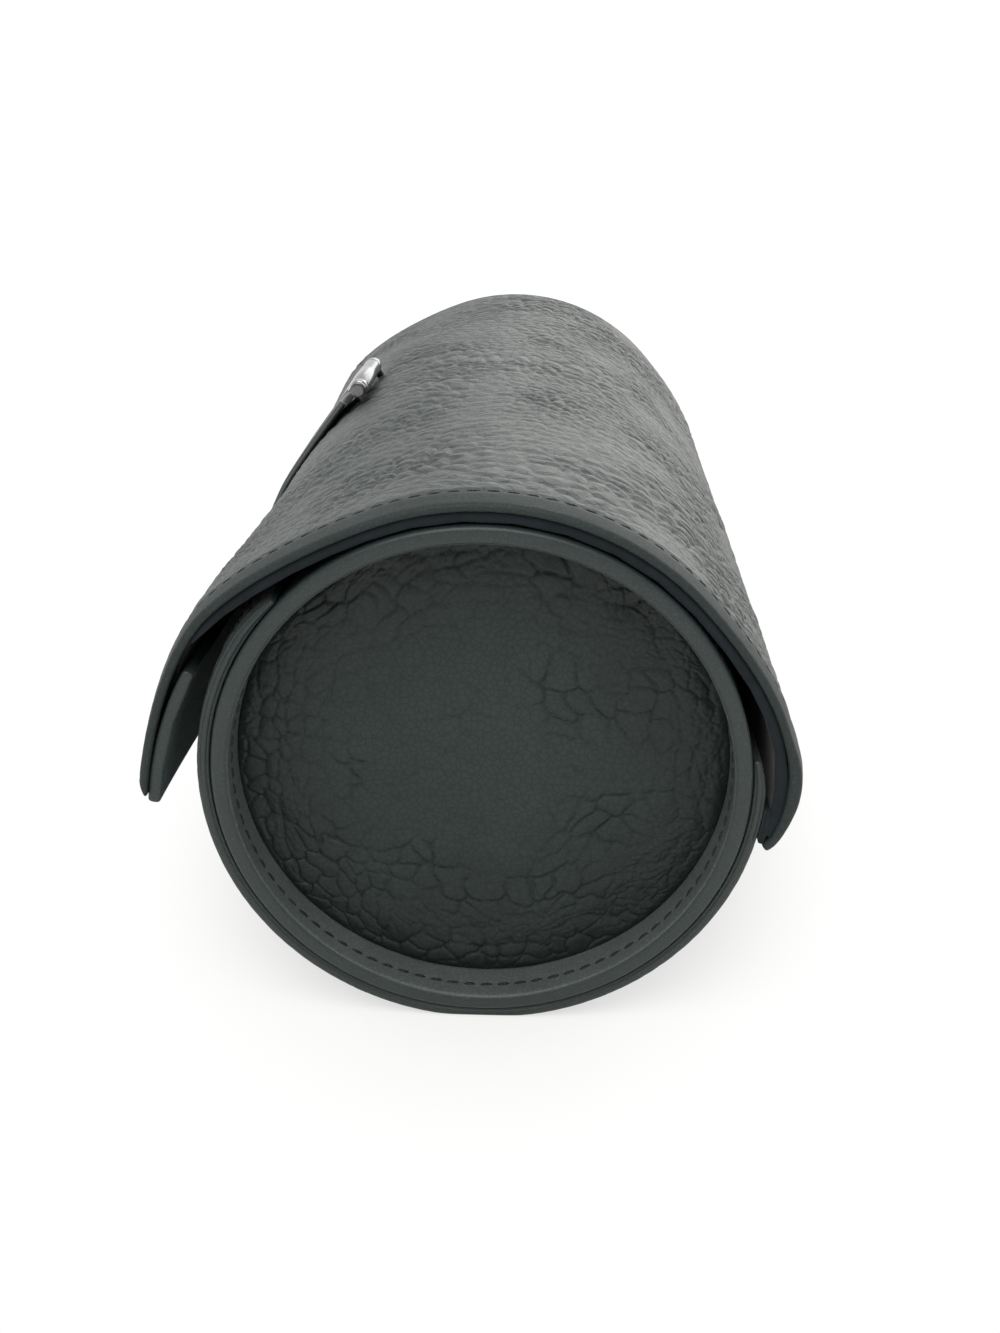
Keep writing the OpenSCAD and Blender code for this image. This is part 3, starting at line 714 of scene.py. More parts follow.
def finish(name):
    """A material by its name, made on first use from the scene's settings."""
    if name in bpy.data.materials:
        return bpy.data.materials[name]
    skin, suede = bpy.context.scene.roll_leather, bpy.context.scene.roll_inside.suede
    if name in PAINTED:
        factor, lift, *rest = PAINTED[name]
        return grained(name, [factor * c + lift for c in skin.paint], *rest, crease=0.4)
    kinds = {
        "Lid hide": lambda: grained(name, skin.hide, 0.52, 620.0, 0.00006, 0.3, 0.5, True, 0.065),
        "Disc hide shaded": lambda: grained(name, skin.disc, 0.56, 900.0, 0.00002, 0.35, 0.26, shade_recess=True),
        "Flesh side": lambda: napped(name, (0.013, 0.013, 0.013), 0.05),
        "Suede": lambda: napped(name, suede),
        "Suede panel": lambda: napped(name, [0.8 * c for c in suede]),
        "Thread": lambda: patterned(name, *WAX, Specular_IOR_Level=0.4),
        "Board": lambda: patterned(name, *BOARD, Specular_IOR_Level=0.2),
        "Steel": lambda: steel(name, 0.28, 0.42),
        "Blackened steel": lambda: steel(name, 0.10, 0.22),
    }
    return kinds[name]()


def finishes(*names):
    """The materials of several zones."""
    return [finish(name) for name in names]


# Pieces


def edge_groove(e, inset, width=0.5, depth=0.36, drop=0.8):
    """Drop of the surface near an edge: a groove under the stitches and a fall to the edge."""
    return depth * bell(e - inset, width) + drop * fall(e / inset) ** 1.2


def build_lid(scene):
    """The lid's outer leather with its stitches, its lining and the facing of its free edge. Each
    sheet lies between two lines beside lid_line, one pair for each place along the roll, and the
    outer leather's upper line also carries the hide's relief."""
    skin, thread = scene.roll_leather, scene.roll_thread
    half, round_ = skin.lid_thick / MM / 2, skin.edge_round / MM
    inset, pitch = thread.inset / MM, thread.pitch / MM
    y, edge = places(HALF, 320, round_)
    line = past_tip(lid_line(waist(y)), 1.6 * (1 - waist(y)), 5)
    s = run(line)
    mid, left = s[len(s) // 2], s[:, -1:] - s
    e = np.minimum(edge[:, None], s)
    # The hide is pressed flat outside the stitches and near the hinge, and each stitch pulls a
    # little at the groove
    calm = np.clip((e - inset) / 3.0, 0.08, 1) * np.clip(left / 8, 0.1, 1)
    pull = 0.02 * np.cos(2 * np.pi * mid / pitch) * bell(e - inset, 0.9)
    rounding = 0.75 * fall(s / 2.6) ** 2
    relief = wrinkled(mid[None, :], y[:, None]) * calm - edge_groove(e, inset) - rounding + pull
    # The leather bulges where it folds down to the hinge
    bulge = 1.2 * np.sin(np.pi * np.clip(left / 22, 0, 1)) ** 2
    outer, inner = beside(line, half + relief + bulge), beside(line, -half + 0.4 * bulge)
    skins = finishes("Lid hide", "Lid edge", "Suede")
    lid = leather("lid_leather_skin", outer, inner, y, edge, skins, round_, front_out=inset - round_)
    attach(lid, "lid")
    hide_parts("lid_leather", "lid_bead")

    # The thread lies sunk in the groove, and both long rows stop short of the hinge
    sunk, spare = 0.34, 18
    rows = []
    top = beside(line, half - sunk)
    normal = beside(line, 1.0) - line
    for name, side in ENDS:
        at = side * (inset - HALF)
        k = np.argmin(np.abs(y - at))
        used = slice(np.argmin(np.abs(s[k] - inset)), -spare)
        p, q = np.insert(top[k, used], 1, at, axis=1), np.insert(normal[k, used], 1, 0.0, axis=1)
        rows.append(stitches("lid_stitches_" + name, p, q))
    i, k = np.arange(len(y)), np.argmin(np.abs(s - inset), axis=1)
    p, q = np.insert(top[i, k], 1, y, axis=1), np.insert(normal[i, k], 1, 0.0, axis=1)
    inside = edge > inset + 1.0
    rows.append(stitches("lid_stitches_tip", p[inside], q[inside]))
    row = join("lid_stitches", rows)
    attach(row, "lid")

    y, edge = places(HALF - 0.7, 60, 0.5)
    part = lid_line(waist(y), (15, 25, 33, 24, 8))[:, 13:-2]
    s = run(part)
    left = s[:, -1:] - s
    bulge = 0.48 * np.sin(np.pi * np.clip((left + 4.7) / 22, 0, 1)) ** 2
    thin = 0.85 * fall(left / 9) + 1.0 * fall(s / 9)
    outer, inner = beside(part, -half - 0.05 + bulge), beside(part, -half - 1.65 + thin)
    lining = leather("lid_lining_skin", outer, inner, y, edge, finishes(*["Suede"] * 3), 0.5)
    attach(lining, "lid")
    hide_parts("lid_lining", "lid_board")

    # Away from the strap the facing reaches past the lid's tip and curls off it above
    free = 1 - waist(y)
    part = past_tip(lid_line(waist(y), (18, 25, 33, 24, 8))[:, :13], 0.3 + 2.0 * free, 3)
    t = np.linspace(0, 1, 16)
    curl = 0.8 * free[:, None] * t**2.6
    outer, inner = beside(part, -half - 0.08 - 0.2 * t**2 - curl), beside(part, -half - 2.12 - curl)
    skins = finishes("Edge paint", "Edge paint", "Facing back")
    facing = leather("lid_facing_skin", outer, inner, y, edge, skins, 0.6)
    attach(facing, "lid")
    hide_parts("lid_facing")


def build_wrap():
    """The trough's outer leather and its stitches at both ends: an arc of 230 degrees at each
    place along the roll, thinner towards its edges, with the hide's relief. Its height over the
    floor is that of a hyperbola, so that it lies flat where the roll stands."""
    y, edge = places(HALF - 0.6, 230, 0.5)
    first, last = 136, 366
    a = np.linspace(first, last, 386)
    s = np.radians(a - first) * WRAP_R
    left = s[-1] - s
    e = np.minimum(edge[:, None], np.minimum(s, left))
    calm = np.clip((e - 0.8) / 6.0, 0.1, 1)
    thin = 0.06 + 1.0 * fall(s / 9) ** 1.5 + 0.9 * fall(left / 6) ** 1.5
    relief = wrinkled(s[None, :] + 300, y[:, None], 11.0) * calm - edge_groove(e, 3.0, 0.4, 0.12, 0.35)
    outer = polar(WRAP_R - thin + relief, a)
    over = outer[..., 1] + AXIS_H
    outer[..., 1] = (over + np.hypot(over, 0.25)) / 2 - AXIS_H
    inner = polar(LINING_R + 0 * e, a)
    # The lines run clockwise, as the lid's do, so that their outside is on the left
    outer, inner = outer[:, ::-1], inner[:, ::-1]
    skins = finishes("Lid hide", "Edge paint", "Flesh side")
    wrap = leather("trough_wrap", outer, inner, y, edge, skins, 0.5, 0.45)
    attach(wrap, "case")
    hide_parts("case_wrap", "case_board")

    t = np.radians(np.linspace(140, 362, 400))
    up = stack(np.cos(t), 0, np.sin(t))
    halves = ("left", t < 1.5 * np.pi), ("right", t > 1.5 * np.pi)
    rows = []
    for name, side in ENDS:
        p = up * (WRAP_R - 0.24) - [0, side * (HALF - 3.6), 0]
        for half, part in halves:
            use = part & (p[:, 2] > 1.0 - AXIS_H)
            rows.append(stitches(f"wrap_{name}_{half}", p[use], up[use]))
    row = join("wrap_stitches", rows)
    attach(row, "case")


def build_rim(name, side):
    """One end's rim ring with its inner row of stitches: two straight walls joined by a quarter
    circle outside and a quarter ellipse inside, turned about the roll's axis. Its face rises and
    falls with noise, and has a fine groove."""
    turn = polar(1, np.linspace(0, 90, 8))
    low = -12.8
    wall = stack(RIM_BORE_R, np.linspace(-1.3, low, 12))
    outside = stack(RIM_OUT_R, np.linspace(low, -1.3, 6))
    outer_turn = [42.1, -0.85] + 0.85 * turn
    inner_turn = [40.98, -0.78] + turn[:, ::-1] * [-0.88, 0.93]
    profile = np.concatenate([outside, outer_turn, inner_turn, wall])
    r, z = profile.T
    groove = bell(r - 41.3, 0.2) * (z > -0.6)

    def uneven(a, _):
        """The stitches pull the wall out, and the face waves round the ring."""
        wave = 0.05 * swell(a * 9 / np.pi, 0 * a + side, 4.0) + 0.03 * swell(a * 40, 0 * a, 5.0)
        pull = 0.10 * bell(z + 3.4, 0.5) * (r < 40.2)
        return pull + 0 * a, (z > -2.0) * wave - 0.14 * groove

    # The inner wall is zone 1, whose lighter paint is painted light in the recess
    inside = ((z < -0.15) & (r < 41.0)).astype(int)
    paints = finishes("Edge paint", "Rim wall painted lighter")
    ring = lathe(f"{name}_rim_ring", profile, front_end(side), paints, 360, inside, uneven)
    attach(ring, "case")
    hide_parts(f"{name}_rim")

    t = np.linspace(0, 2 * np.pi, 500)
    out = stack(np.cos(t), 0, np.sin(t))
    row = stitches(f"{name}_rim_stitches", 40.2 * out - [0, side * (HALF - 3.4), 0], -out, 0.0)
    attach(row, "case")


def build_disc(skin, name, side):
    """One end's recessed disc: a square grid drawn out to a disc, each coordinate times the root
    of 1 less half the other's square, so that it has no pole. Its height is a dome with soft
    lumps, and pebbles that are stronger and closer towards the rim."""
    n = 270
    gx, gy = np.meshgrid(np.linspace(-1, 1, n), np.linspace(-1, 1, n))
    x = gx * np.sqrt(1 - gy**2 / 2) * DISC_R
    z = gy * np.sqrt(1 - gx**2 / 2) * DISC_R
    r = np.hypot(x, z)
    crowd = (1 + 0.35 * (r / 40) ** 2) / (skin.pebble / MM)
    rough = pebbled(x * crowd + 40 * side, z * crowd, 0.85, 0.85, 7.0 + side) * skin.crease / MM
    strength = np.clip((r - 1) / 26 + 0.5 * swell(x / 9, z / 9, 2.0), 0.12, 1)
    fold = bell(swell(x / 5.5 + 0.6 * swell(x / 4, z / 4, 31.0), z / 9.0, 29.0), 0.10)
    fold *= np.clip(swell(x / 12, z / 12, 33.0) + 0.35, 0, 1) * (r / 38) ** 2
    lumps = 0.34 * swell(x / 7.5, z / 7.5, 13.0) + 0.16 * swell(x / 3.6, z / 3.6, 17.0)
    dome = 0.55 * (1 - (r / DISC_R) ** 2) + 0.25 * swell(x / 17, z / 17, 9.0) + lumps * (r / 38) ** 1.5
    edge = np.clip((DISC_R - r) / 1.6, 0, 1)
    height = (dome - 0.35 * fold + rough * strength) * edge - 0.5 * (1 - edge) ** 2
    face = stack(x, z, height - DISC_DEPTH).reshape(-1, 3)

    index = np.arange(n * n).reshape(n, n)
    rim = np.concatenate([index[0], index[1:, -1], index[-1, -2::-1], index[-2:0:-1, 0]])
    low = n * n + np.arange(len(rim))
    back = face[rim] * [1, 1, 0] - [0, 0, DISC_BACK]
    wall = stack(rim, low, np.roll(low, -1), np.roll(rim, -1))
    faces = grid_faces(n, n, round_columns=False).tolist() + wall.tolist() + [low[::-1].tolist()]
    points = placed(np.concatenate([face, back]), front_end(side))
    disc = make(f"{name}_disc_skin", points, faces, materials=finishes("Disc hide shaded"))
    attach(disc, "case")
    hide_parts(f"{name}_disc")


def build_hinge():
    """The welt that holds the lid's edge: a short arc of the round, carried along the roll, whose
    top follows a squared cosine and a little noise."""
    y, edge = places(HALF - 0.6, 60, 0.4)
    t = np.linspace(0, 1, 16)
    line = polar(WRAP_R + 0 * y[:, None], HINGE_A + mix(8, 1.2, t))
    top = 1.15 - 0.25 * np.cos(t * np.pi) ** 2 + 0.02 * swell(y[:, None] / 3, t[None, :] * 2, 2.0)
    outer, inner = beside(line, top), beside(line, -0.05)
    welt = leather("hinge_welt_strip", outer, inner, y, edge, finishes(*["Suede"] * 3), 0.4, 0.5)
    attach(welt, "case")
    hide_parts("hinge_welt")


def strap_line():
    """Middle of the strap: out of the jaw, along the lid, over its edge and down the arc."""
    over = 1.05 + 0.35 + 0.7
    way = unit(beside(lid_line(1.0, (5, 6, 9, 7, 6))[0], over)[4] - PIN)
    out = PIN + 0.8 * np.array([way[1], -way[0]])
    lid = beside(lid_line(1.0, (60, 6, 9, 7, 6))[0], over)[:60][::-1]
    turn = np.degrees(1 / TRACK_R)
    arc = HINGE + polar(TRACK_R, CLOSURE_A + turn * np.linspace(-7.0, 12.0, 40))
    parts = [
        out + way * np.linspace(1.26, 4.4, 6)[:-1, None],
        cubic(out + 4.4 * way, 5.0 * way, lid[12], 5.0 * unit(lid[13] - lid[12]), 24)[0],
        lid[12:-1],
        cubic(lid[-1], 3.4 * unit(lid[-1] - lid[-2]), arc[0], [0, -3.4], 20)[0],
        arc,
    ]
    return np.concatenate(parts)


def build_strap():
    """The closing strap: lines across strap_line whose half width closes as a half circle at the
    end, and whose thickness falls off at the edge as a superellipse. One row of stitches runs
    down one side, round the end and up the other."""
    line = strap_line()
    s = run(line)
    line = point_at(np.linspace(0, s[-1], 200), s, line)
    line[1:-1] = (line[:-2] + 2 * line[1:-1] + line[2:]) / 4
    s = run(line)
    left = s[-1] - s
    w, inset, across = 11.7, 2.4, 61
    half = w * np.sqrt(np.clip(1 - fall(left / w) ** 2, 1e-4, 1))
    y = half[:, None] * np.sin(np.linspace(-np.pi / 2, np.pi / 2, across))
    e = np.minimum(half[:, None] - np.abs(y), left[:, None])
    full = np.maximum((1 - fall(e / 0.8) ** 2.4) ** (1 / 2.2), 0.25)
    groove = 0.10 * bell(e - inset, 0.35) * (s[:, None] > 5)
    grain = 0.03 * pebbled(s[:, None] / 2.2, y / 2.2, 1.0, 0.6, 21.0) * np.clip(e - 0.6, 0, 1)
    normal = beside(line, 1.0) - line
    # The strap runs downward, so its outside lies on the right of its line
    depths = -(0.70 + 0.08 * np.clip(e / 3, 0, 1) + grain - groove) * full, 0.68 * full
    front, back = (in_frame(line[:, None] + normal[:, None] * d[..., None], y) for d in depths)
    points = np.concatenate([front, back[:, ::-1]], 1)
    # Columns run across the front and back again: the leather, its painted edges, the flesh side
    side = np.array([1] * 3 + [0] * (across - 7) + [1] * 8 + [2] * (across - 7) + [1] * 3)
    zones = np.append(np.tile(side, len(line) - 1), [1, 1])
    uv = stack(s[:, None], np.concatenate([y, y[:, ::-1]], 1)) * MM
    # The edges take the lighter paint, a painted highlight on their rounding
    skins = finishes("Lid hide", "Strap edge painted lighter", "Flesh side")
    strap = make("strap_band", points, tube_faces(*points.shape[:2]), zones, uv, skins)
    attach(strap, "strap")
    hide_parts("strap_leather", "strap_lining")

    half = np.sqrt(np.clip((w - inset) ** 2 - np.clip(w - left, 0, w) ** 2, 0, None))
    use = (s > 6) & (half > 0.3)
    path = np.insert(line[use] - normal[use] * 0.5, 1, -half[use], axis=1)
    up = np.insert(-normal[use], 1, 0.0, axis=1)
    path, up = np.concatenate([path, path[::-1] * [1, -1, 1]]), np.concatenate([up, up[::-1]])
    row = stitches("strap_stitches", path, up)
    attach(row, "strap")
    build_bar(unit(line[3] - line[1]))


def build_bar(way):
    """The metal barrel with its jaw on the strap, and the lugs that carry the pin on the lid: a
    grooved profile turned about the pin, and closed sections carried across the strap."""
    metal = finishes("Steel")
    end = [1.3, 11.42] + polar(0.5, np.linspace(0, 90, 8))
    grooves = np.array([[1.8, 9.5], [1.7, 9.6], [1.7, 9.9], [1.8, 10.0]])
    bore = np.array([[0.86, -11.6], [0.9, -11.8]])
    flip = [1, -1]
    profile = [end[::-1] * flip, grooves[::-1] * flip, grooves, end, bore[::-1] * flip, bore]
    barrel = lathe("strap_bar", np.concatenate(profile), placing(PIN, 0, 90, "X"), metal, 64)
    # The jaw's outline in section starts inside the barrel's wall, so that the two are joined
    outline = rounded(3.2, 2.1, 0.45, 6) + [1.35, -1.05 + 0.8]
    jaw = slab("strap_jaw", aligned(PIN, way, outline), -11.85, 11.85, metal)
    piece = join("strap_barrel_metal", [barrel, jaw])
    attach(piece, "strap")
    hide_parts("strap_barrel")

    # Two lugs with round eyes, on a plate under the leather
    lid = lid_line(1.0)[0]
    foot = lid[np.argmin(np.linalg.norm(lid - PIN, axis=1))]
    way = unit(PIN - foot)
    deep = np.linalg.norm(PIN - foot) + 1.6
    lug = np.concatenate([polar(1.6, np.linspace(-152, 152, 40)), [[-deep, 0.75], [-deep, -0.75]]])
    plate = rounded(0.9, 8.0, 0.2, 4) + [-deep, -4.0]
    parts = [
        slab("lug", aligned(PIN, way, outline), first, last, finishes("Blackened steel"))
        for outline, first, last in ((lug, -13.47, -12.08), (lug, 12.08, 13.47), (plate, -14.4, 14.4))
    ]
    saddle = join("strap_saddle_metal", parts)
    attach(saddle, "lid")
    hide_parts("strap_saddle")


def build_pad():
    """A low round of leather about the magnet: a profile with a quarter-circle shoulder, turned
    about the line from the hinge through the closure."""
    face, radius = 92.3, 6.95
    foot = face - 5.6
    turn = [radius - 0.65, face - 0.65] + polar(0.65, np.linspace(0, 90, 7))
    lip = [[5.35, face - 0.02], [5.08, face - 0.25], [5.05, face - 1.6], [5.05, foot], [radius, foot]]

    def trim(a, p):
        """The foot leans with the wall that it stands on."""
        return 0 * a, 2.4 / radius * p[:, 0] * np.cos(a) * (p[:, 1] <= foot)

    place = placing(HINGE, 0, 90 - CLOSURE_A, "Y")
    profile = np.concatenate([turn, lip])
    pad = lathe("magnet_pad_leather", profile, place, finishes("Edge paint"), 96, relief=trim)
    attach(pad, "case")
    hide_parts("magnet_pad")


def positions(mesh):
    """A mesh's points as an array."""
    flat = np.empty(3 * len(mesh.vertices), np.float32)
    mesh.vertices.foreach_get("co", flat)
    return flat.reshape(-1, 3).astype(float)


def evaluated(piece):
    """A piece as its modifiers leave it."""
    return piece.evaluated_get(bpy.context.evaluated_depsgraph_get())


def puff(piece, middle, seam, cap):
    """Blows a cushion up as cloth under pressure, held along its two end seams, and keeps the
    result. No point moves further than the cap."""
    scene = bpy.context.scene
    piece.modifiers.new("Remesh", "REMESH").voxel_size = 0.0022
    mesh = bpy.data.meshes.new_from_object(evaluated(piece))
    piece.modifiers.clear()
    piece.data = mesh
    rest = positions(mesh)
    off = np.abs(np.abs(rest[:, 1] - middle) - seam)
    held = piece.vertex_groups.new(name="seam")
    held.add([int(i) for i in np.nonzero(off < 0.0013)[0]], 1.0, "REPLACE")
    cloth = piece.modifiers.new("Cloth", "CLOTH")
    cloth.settings.use_pressure = True
    cloth.settings.uniform_pressure_force = 4.0
    cloth.settings.vertex_group_mass = "seam"
    cloth.settings.effector_weights.gravity = 0.0
    for step in range(1, 21):
        scene.frame_set(step)
    move = positions(evaluated(piece).data) - rest
    far = np.linalg.norm(move, axis=1, keepdims=True)
    blown = rest + move * np.minimum(1, cap / np.maximum(far, 1e-9))
    piece.modifiers.clear()
    piece.vertex_groups.clear()
    scene.frame_set(1)
    mesh.vertices.foreach_set("co", blown.astype(np.float32).ravel())
    centre = np.empty(3 * len(mesh.polygons), np.float32)
    mesh.polygons.foreach_get("center", centre)
    panel = np.abs(centre[1::3] - middle) > seam
    mesh.polygons.foreach_set("material_index", panel.astype(np.int32))
    mesh.shade_smooth()
    mesh.update()
    smooth = piece.modifiers.new("Subdivision", "SUBSURF")
    smooth.levels = smooth.render_levels = 1


def oval(a):
    """A superellipse, a little squarer than a circle, as [across, up] at angles a: cosine and
    sine over the root of the sum of their powers."""
    power = 2.25
    c, s = np.cos(a), np.sin(a)
    return stack(c, s) / (np.abs(c) ** power + np.abs(s) ** power)[..., None] ** (1 / power)


def build_cushion(inside, n):
    """A pillow: ovals along its length that crown between the end seams, dip at each seam
    and dome over the ends, with puckers that run out from the seams and fade."""
    size = np.array([inside.width, inside.height]) / MM / 2
    bulb, shoulder, around, bands = 7.0, 0.93, 180, 22
    seam = inside.reach / MM / 2 - bulb
    t = np.linspace(0, np.pi / 2, bands)
    dome_y, dome_r = seam + bulb * np.sin(t), shoulder * np.cos(t) ** 0.75
    y = np.linspace(-seam, seam, 71)[1:-1]
    r = np.concatenate([dome_r[::-1], 1 - 0.07 * (y / seam) ** 2, dome_r])[:, None]
    y = np.concatenate([-dome_y[::-1], y, dome_y])[:, None]
    a = circle(around)[None, :]
    off = np.abs(np.abs(y) - seam)
    pucker = swell(a * 16 / np.pi + n, np.sign(y) * 3 + 0 * a, 3.0 + n)
    soft = swell(a * 5 / np.pi, y / 13, 8.0 + n)
    amount = 0.5 * pucker * np.exp(-off / 5.5) * (r > 0.25) + 0.35 * soft
    # The pressure gives back what is left off here
    spare = 1.0
    amount = amount * np.clip(r * 1.4, 0, 1) - 0.75 * bell(off, 0.9) - spare
    amount *= np.clip(r * 3, 0, 1)
    ring = np.maximum(r[..., None] * size + amount[..., None], 0.0) * oval(a)
    middle = np.array([0.0, (n - 2) * BAY_PITCH, AXIS_H - CUSHION_LOW + size[1]])
    points = stack(ring[..., 0], y, ring[..., 1]) + middle
    points[0], points[-1] = points[0].mean(0), points[-1].mean(0)
    faces = grid_faces(len(y), around)[:, ::-1].tolist()
    row = np.repeat(np.arange(len(y) - 1), around)
    panel = (row < bands - 1) | (row >= len(y) - bands)
    suede = finishes("Suede", "Suede panel")
    pad = make(f"cushion_{n}_suede", points * MM, faces, panel.astype(int), None, suede)
    pad.data.flip_normals()
    weld(pad)
    puff(pad, middle[1] * MM, seam * MM, 0.0012)
    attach(pad, f"cushion_{n}")
    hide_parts(f"cushion_cover_{n}", f"cushion_ends_{n}", f"cushion_core_{n}")

    # Piping along both end seams
    thick, around = 0.55, 240
    t = circle(8)[:, None]
    section = oval(circle(around))[:, None] * (shoulder * size - 1.25 + thick * np.cos(t))
    pipes = []
    for end in (-seam, seam):
        points = np.insert(section, 1, end + thick * np.sin(t[:, 0]), axis=-1) + middle
        faces = grid_faces(around, 8, True).tolist()
        pipes.append(weld(make(f"cushion_{n}_pipe", points * MM, faces, materials=suede[:1])))
    piping = join(f"cushion_{n}_piping", pipes)
    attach(piping, f"cushion_{n}")


def build_divider(name, side):
    """A padded board: the round's outline up to a level top, whose thickness falls away
    at its edge as a quarter circle."""
    top, r = 4.0, 42.1
    a0 = math.degrees(math.asin(top / r))
    arc = polar(r, np.linspace(180 - a0, 360 + a0, 150))
    outline = np.concatenate([arc, np.linspace(arc[-1], arc[0], 60)[1:-1]])
    inward = np.array([0, 0.12, 0.4, 0.85, 1.45, 8, 20, 30])
    thick = np.array([0, 0.75, 1.15, 1.38, 1.45, 1.47, 1.47, 1.47])[:, None]
    centre = np.array([0.0, -17.0])
    rings = centre + (outline - centre) * (1 - inward / 42.0)[:, None, None]
    front, back = (in_frame(rings, side * BAY_PITCH / 2 + d) for d in (-thick, thick))
    points = np.concatenate([front[::-1], back[1:]])
    faces = tube_faces(len(points), len(outline))
    piece = weld(make(f"divider_{name}_suede", points, faces, materials=finishes("Suede panel")))
    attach(piece, "case")
    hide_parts(f"divider_{name}")


def build_stage(scene):
    """A pale floor that keeps only the shadow near the roll, a white sky, two lamps, a camera."""
    size = 3.0
    corners = size * np.array([[-1, -1, 0], [1, -1, 0], [1, 1, 0], [-1, 1, 0]])
    floor = make("floor", corners, [[0, 1, 2, 3]])
    white, tree, surface, where = shader(
        "Floor", Base_Color=(0.92, 0.92, 0.90, 1), Roughness=0.9, Specular_IOR_Level=0.1
    )
    glow = node(tree, "Emission", Color=(1.0, 1.0, 1.0, 1), Strength=1.02)[0]
    clear = ramp(tree, spread_by(tree, where["Object"], (1, 0.55, 1)), 0.056, 0.082, 0.64, 1.0)
    seen = maths(tree, "MULTIPLY", node(tree, "LightPath")["Is Camera Ray"], clear)
    both = node(tree, "MixShader", Fac=seen, i1=surface.outputs[0], i2=glow)[0]
    fill(tree, tree.nodes["Material Output"], Surface=both)
    floor.data.materials.append(white)

    scene.world = bpy.data.worlds.new("Studio")
    scene.world.use_nodes = True
    tree = scene.world.node_tree
    height = node(tree, "SeparateXYZ", i0=node(tree, "TexCoord")["Generated"])["Y"]
    sky = linear(tree, height, 0.35, scene.roll_stage.sky)
    seen = maths(tree, "MULTIPLY", node(tree, "LightPath")["Is Camera Ray"], 1.03)
    both = maths(tree, "MAXIMUM", seen, sky)
    fill(tree, tree.nodes["Background"], Strength=both, Color=(1.0, 1.0, 0.99, 1))

    lamps = (
        ("lamp_back", (0.4, 1.0, 0.5), (0, 0.0, 0.08), 1.0, 0.8),
        ("lamp_front", (-0.05, -0.6, 0.95), (0, -0.1, 0.03), 0.7, 1.5),
    )
    for name, at, aim, size, share in lamps:
        light = bpy.data.lights.new(name, "AREA")
        light.size = size
        light.energy = scene.roll_stage.lamp * share
        light.color = (1.0, 0.99, 0.95)
        lamp = bpy.data.objects.new(name, light)
        lamp.visible_camera = False
        turn = (Vector(at) - Vector(aim)).to_track_quat("Z", "Y").to_matrix().to_4x4()
        lamp.matrix_world = Matrix.Translation(at) @ turn
        scene.collection.objects.link(lamp)

    camera = bpy.data.cameras.new("camera")
    camera.lens = scene.roll_stage.lens
    camera.clip_start = 0.01
    eye = bpy.data.objects.new("camera", camera)
    axes = (0.99925, 0.03863, 0), (-0.01536, 0.39727, 0.91758), (0.03545, -0.91691, 0.39757)
    turn = Matrix(axes).transposed().to_4x4()
    eye.matrix_world = Matrix.Translation((0.010665, -0.29331, 0.14936)) @ turn
    scene.collection.objects.link(eye)
    scene.camera = eye
    scene.view_settings.view_transform = "Standard"


# Operators


class ROLL_OT_trough(bpy.types.Operator):
    """Builds the trough: its leather wrap, the rims, the pebbled end discs and their stitches"""

    bl_idname = "watch_roll.trough"
    bl_label = "Trough"

    def execute(self, context):
        build_wrap()
        for name, side in ENDS:
            build_rim(name, side)
            build_disc(context.scene.roll_leather, name, side)
        return {"FINISHED"}


class ROLL_OT_lid(bpy.types.Operator):
    """Builds the lid: pebbled outer leather, dark lining, facing and stitches"""

    bl_idname = "watch_roll.lid"
    bl_label = "Lid"

    def execute(self, context):
        build_lid(context.scene)
        return {"FINISHED"}


class ROLL_OT_hinge(bpy.types.Operator):
    """Builds the welt that holds the lid's edge at the hinge"""

    bl_idname = "watch_roll.hinge"
    bl_label = "Hinge"

    def execute(self, context):
        build_hinge()
        return {"FINISHED"}


class ROLL_OT_strap(bpy.types.Operator):
    """Builds the closing strap with its stitches, the metal barrel, jaw and magnet pad"""

    bl_idname = "watch_roll.strap"
    bl_label = "Strap"

    def execute(self, context):
        build_strap()
        build_pad()
        return {"FINISHED"}


class ROLL_OT_cushions(bpy.types.Operator):
    """Builds the three suede cushions with their end seams"""

    bl_idname = "watch_roll.cushions"
    bl_label = "Cushions"

    def execute(self, context):
        for n in (1, 2, 3):
            build_cushion(context.scene.roll_inside, n)
        return {"FINISHED"}


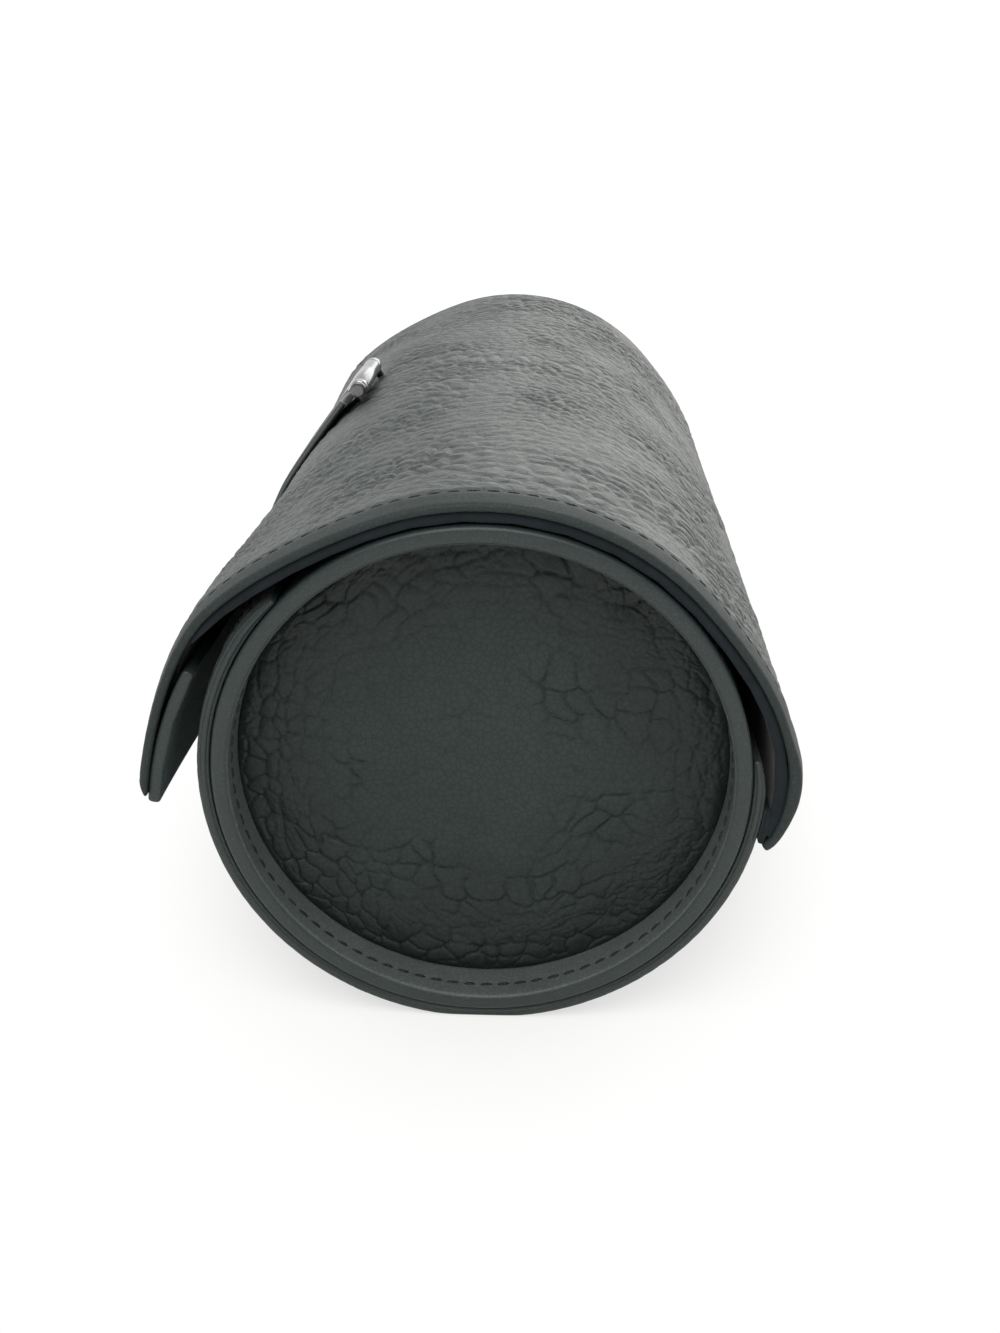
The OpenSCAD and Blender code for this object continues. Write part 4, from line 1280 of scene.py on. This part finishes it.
class ROLL_OT_inside(bpy.types.Operator):
    """Finishes the lining, dividers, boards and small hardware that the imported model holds"""

    bl_idname = "watch_roll.inside"
    bl_label = "Inside"

    def execute(self, context):
        kept = {
            "Suede": ("case_lining", "front_disc_lining", "rear_disc_lining"),
            "Board": ("front_disc_board", "rear_disc_board"),
            "Steel": ("case_magnet", "strap_pin", "strap_keeper", "keeper_rivet"),
        }
        for name, nodes in kept.items():
            for piece in (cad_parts[key] for key in nodes):
                piece.data.materials.clear()
                piece.data.materials.append(finish(name))
        build_divider("front", -1)
        build_divider("rear", 1)
        return {"FINISHED"}


class ROLL_OT_stage(bpy.types.Operator):
    """Sets the pale floor, the soft light and the camera"""

    bl_idname = "watch_roll.stage"
    bl_label = "Stage"

    def execute(self, context):
        build_stage(context.scene)
        return {"FINISHED"}


class ROLL_PT_panel(bpy.types.Panel):
    """Lists the roll's pieces and their settings"""

    bl_idname = "ROLL_PT_panel"
    bl_label = "Watch Roll"
    bl_space_type = "VIEW_3D"
    bl_region_type = "UI"
    bl_category = "Watch Roll"

    def draw(self, context):
        for operator in OPERATORS:
            self.layout.operator(operator.bl_idname)
        for key in GROUPS:
            box = self.layout.box()
            settings = getattr(context.scene, key)
            for name in settings.bl_rna.properties.keys():
                if name not in {"rna_type", "name"}:
                    box.prop(settings, name)


GROUPS = {
    "roll_leather": RollLeather,
    "roll_thread": RollThread,
    "roll_inside": RollInside,
    "roll_stage": RollStage,
}
OPERATORS = (ROLL_OT_trough, ROLL_OT_lid, ROLL_OT_hinge, ROLL_OT_strap)
OPERATORS += (ROLL_OT_cushions, ROLL_OT_inside, ROLL_OT_stage)


def register():
    for cls in (*GROUPS.values(), *OPERATORS, ROLL_PT_panel):
        bpy.utils.register_class(cls)
    for key, kind in GROUPS.items():
        setattr(bpy.types.Scene, key, PointerProperty(type=kind))


def unregister():
    for key in GROUPS:
        delattr(bpy.types.Scene, key)
    for cls in (ROLL_PT_panel, *reversed(OPERATORS), *GROUPS.values()):
        bpy.utils.unregister_class(cls)


def main():
    register()
    for operator in OPERATORS:
        area, name = operator.bl_idname.split(".")
        getattr(getattr(bpy.ops, area), name)()


if __name__ == "__main__":
    main()
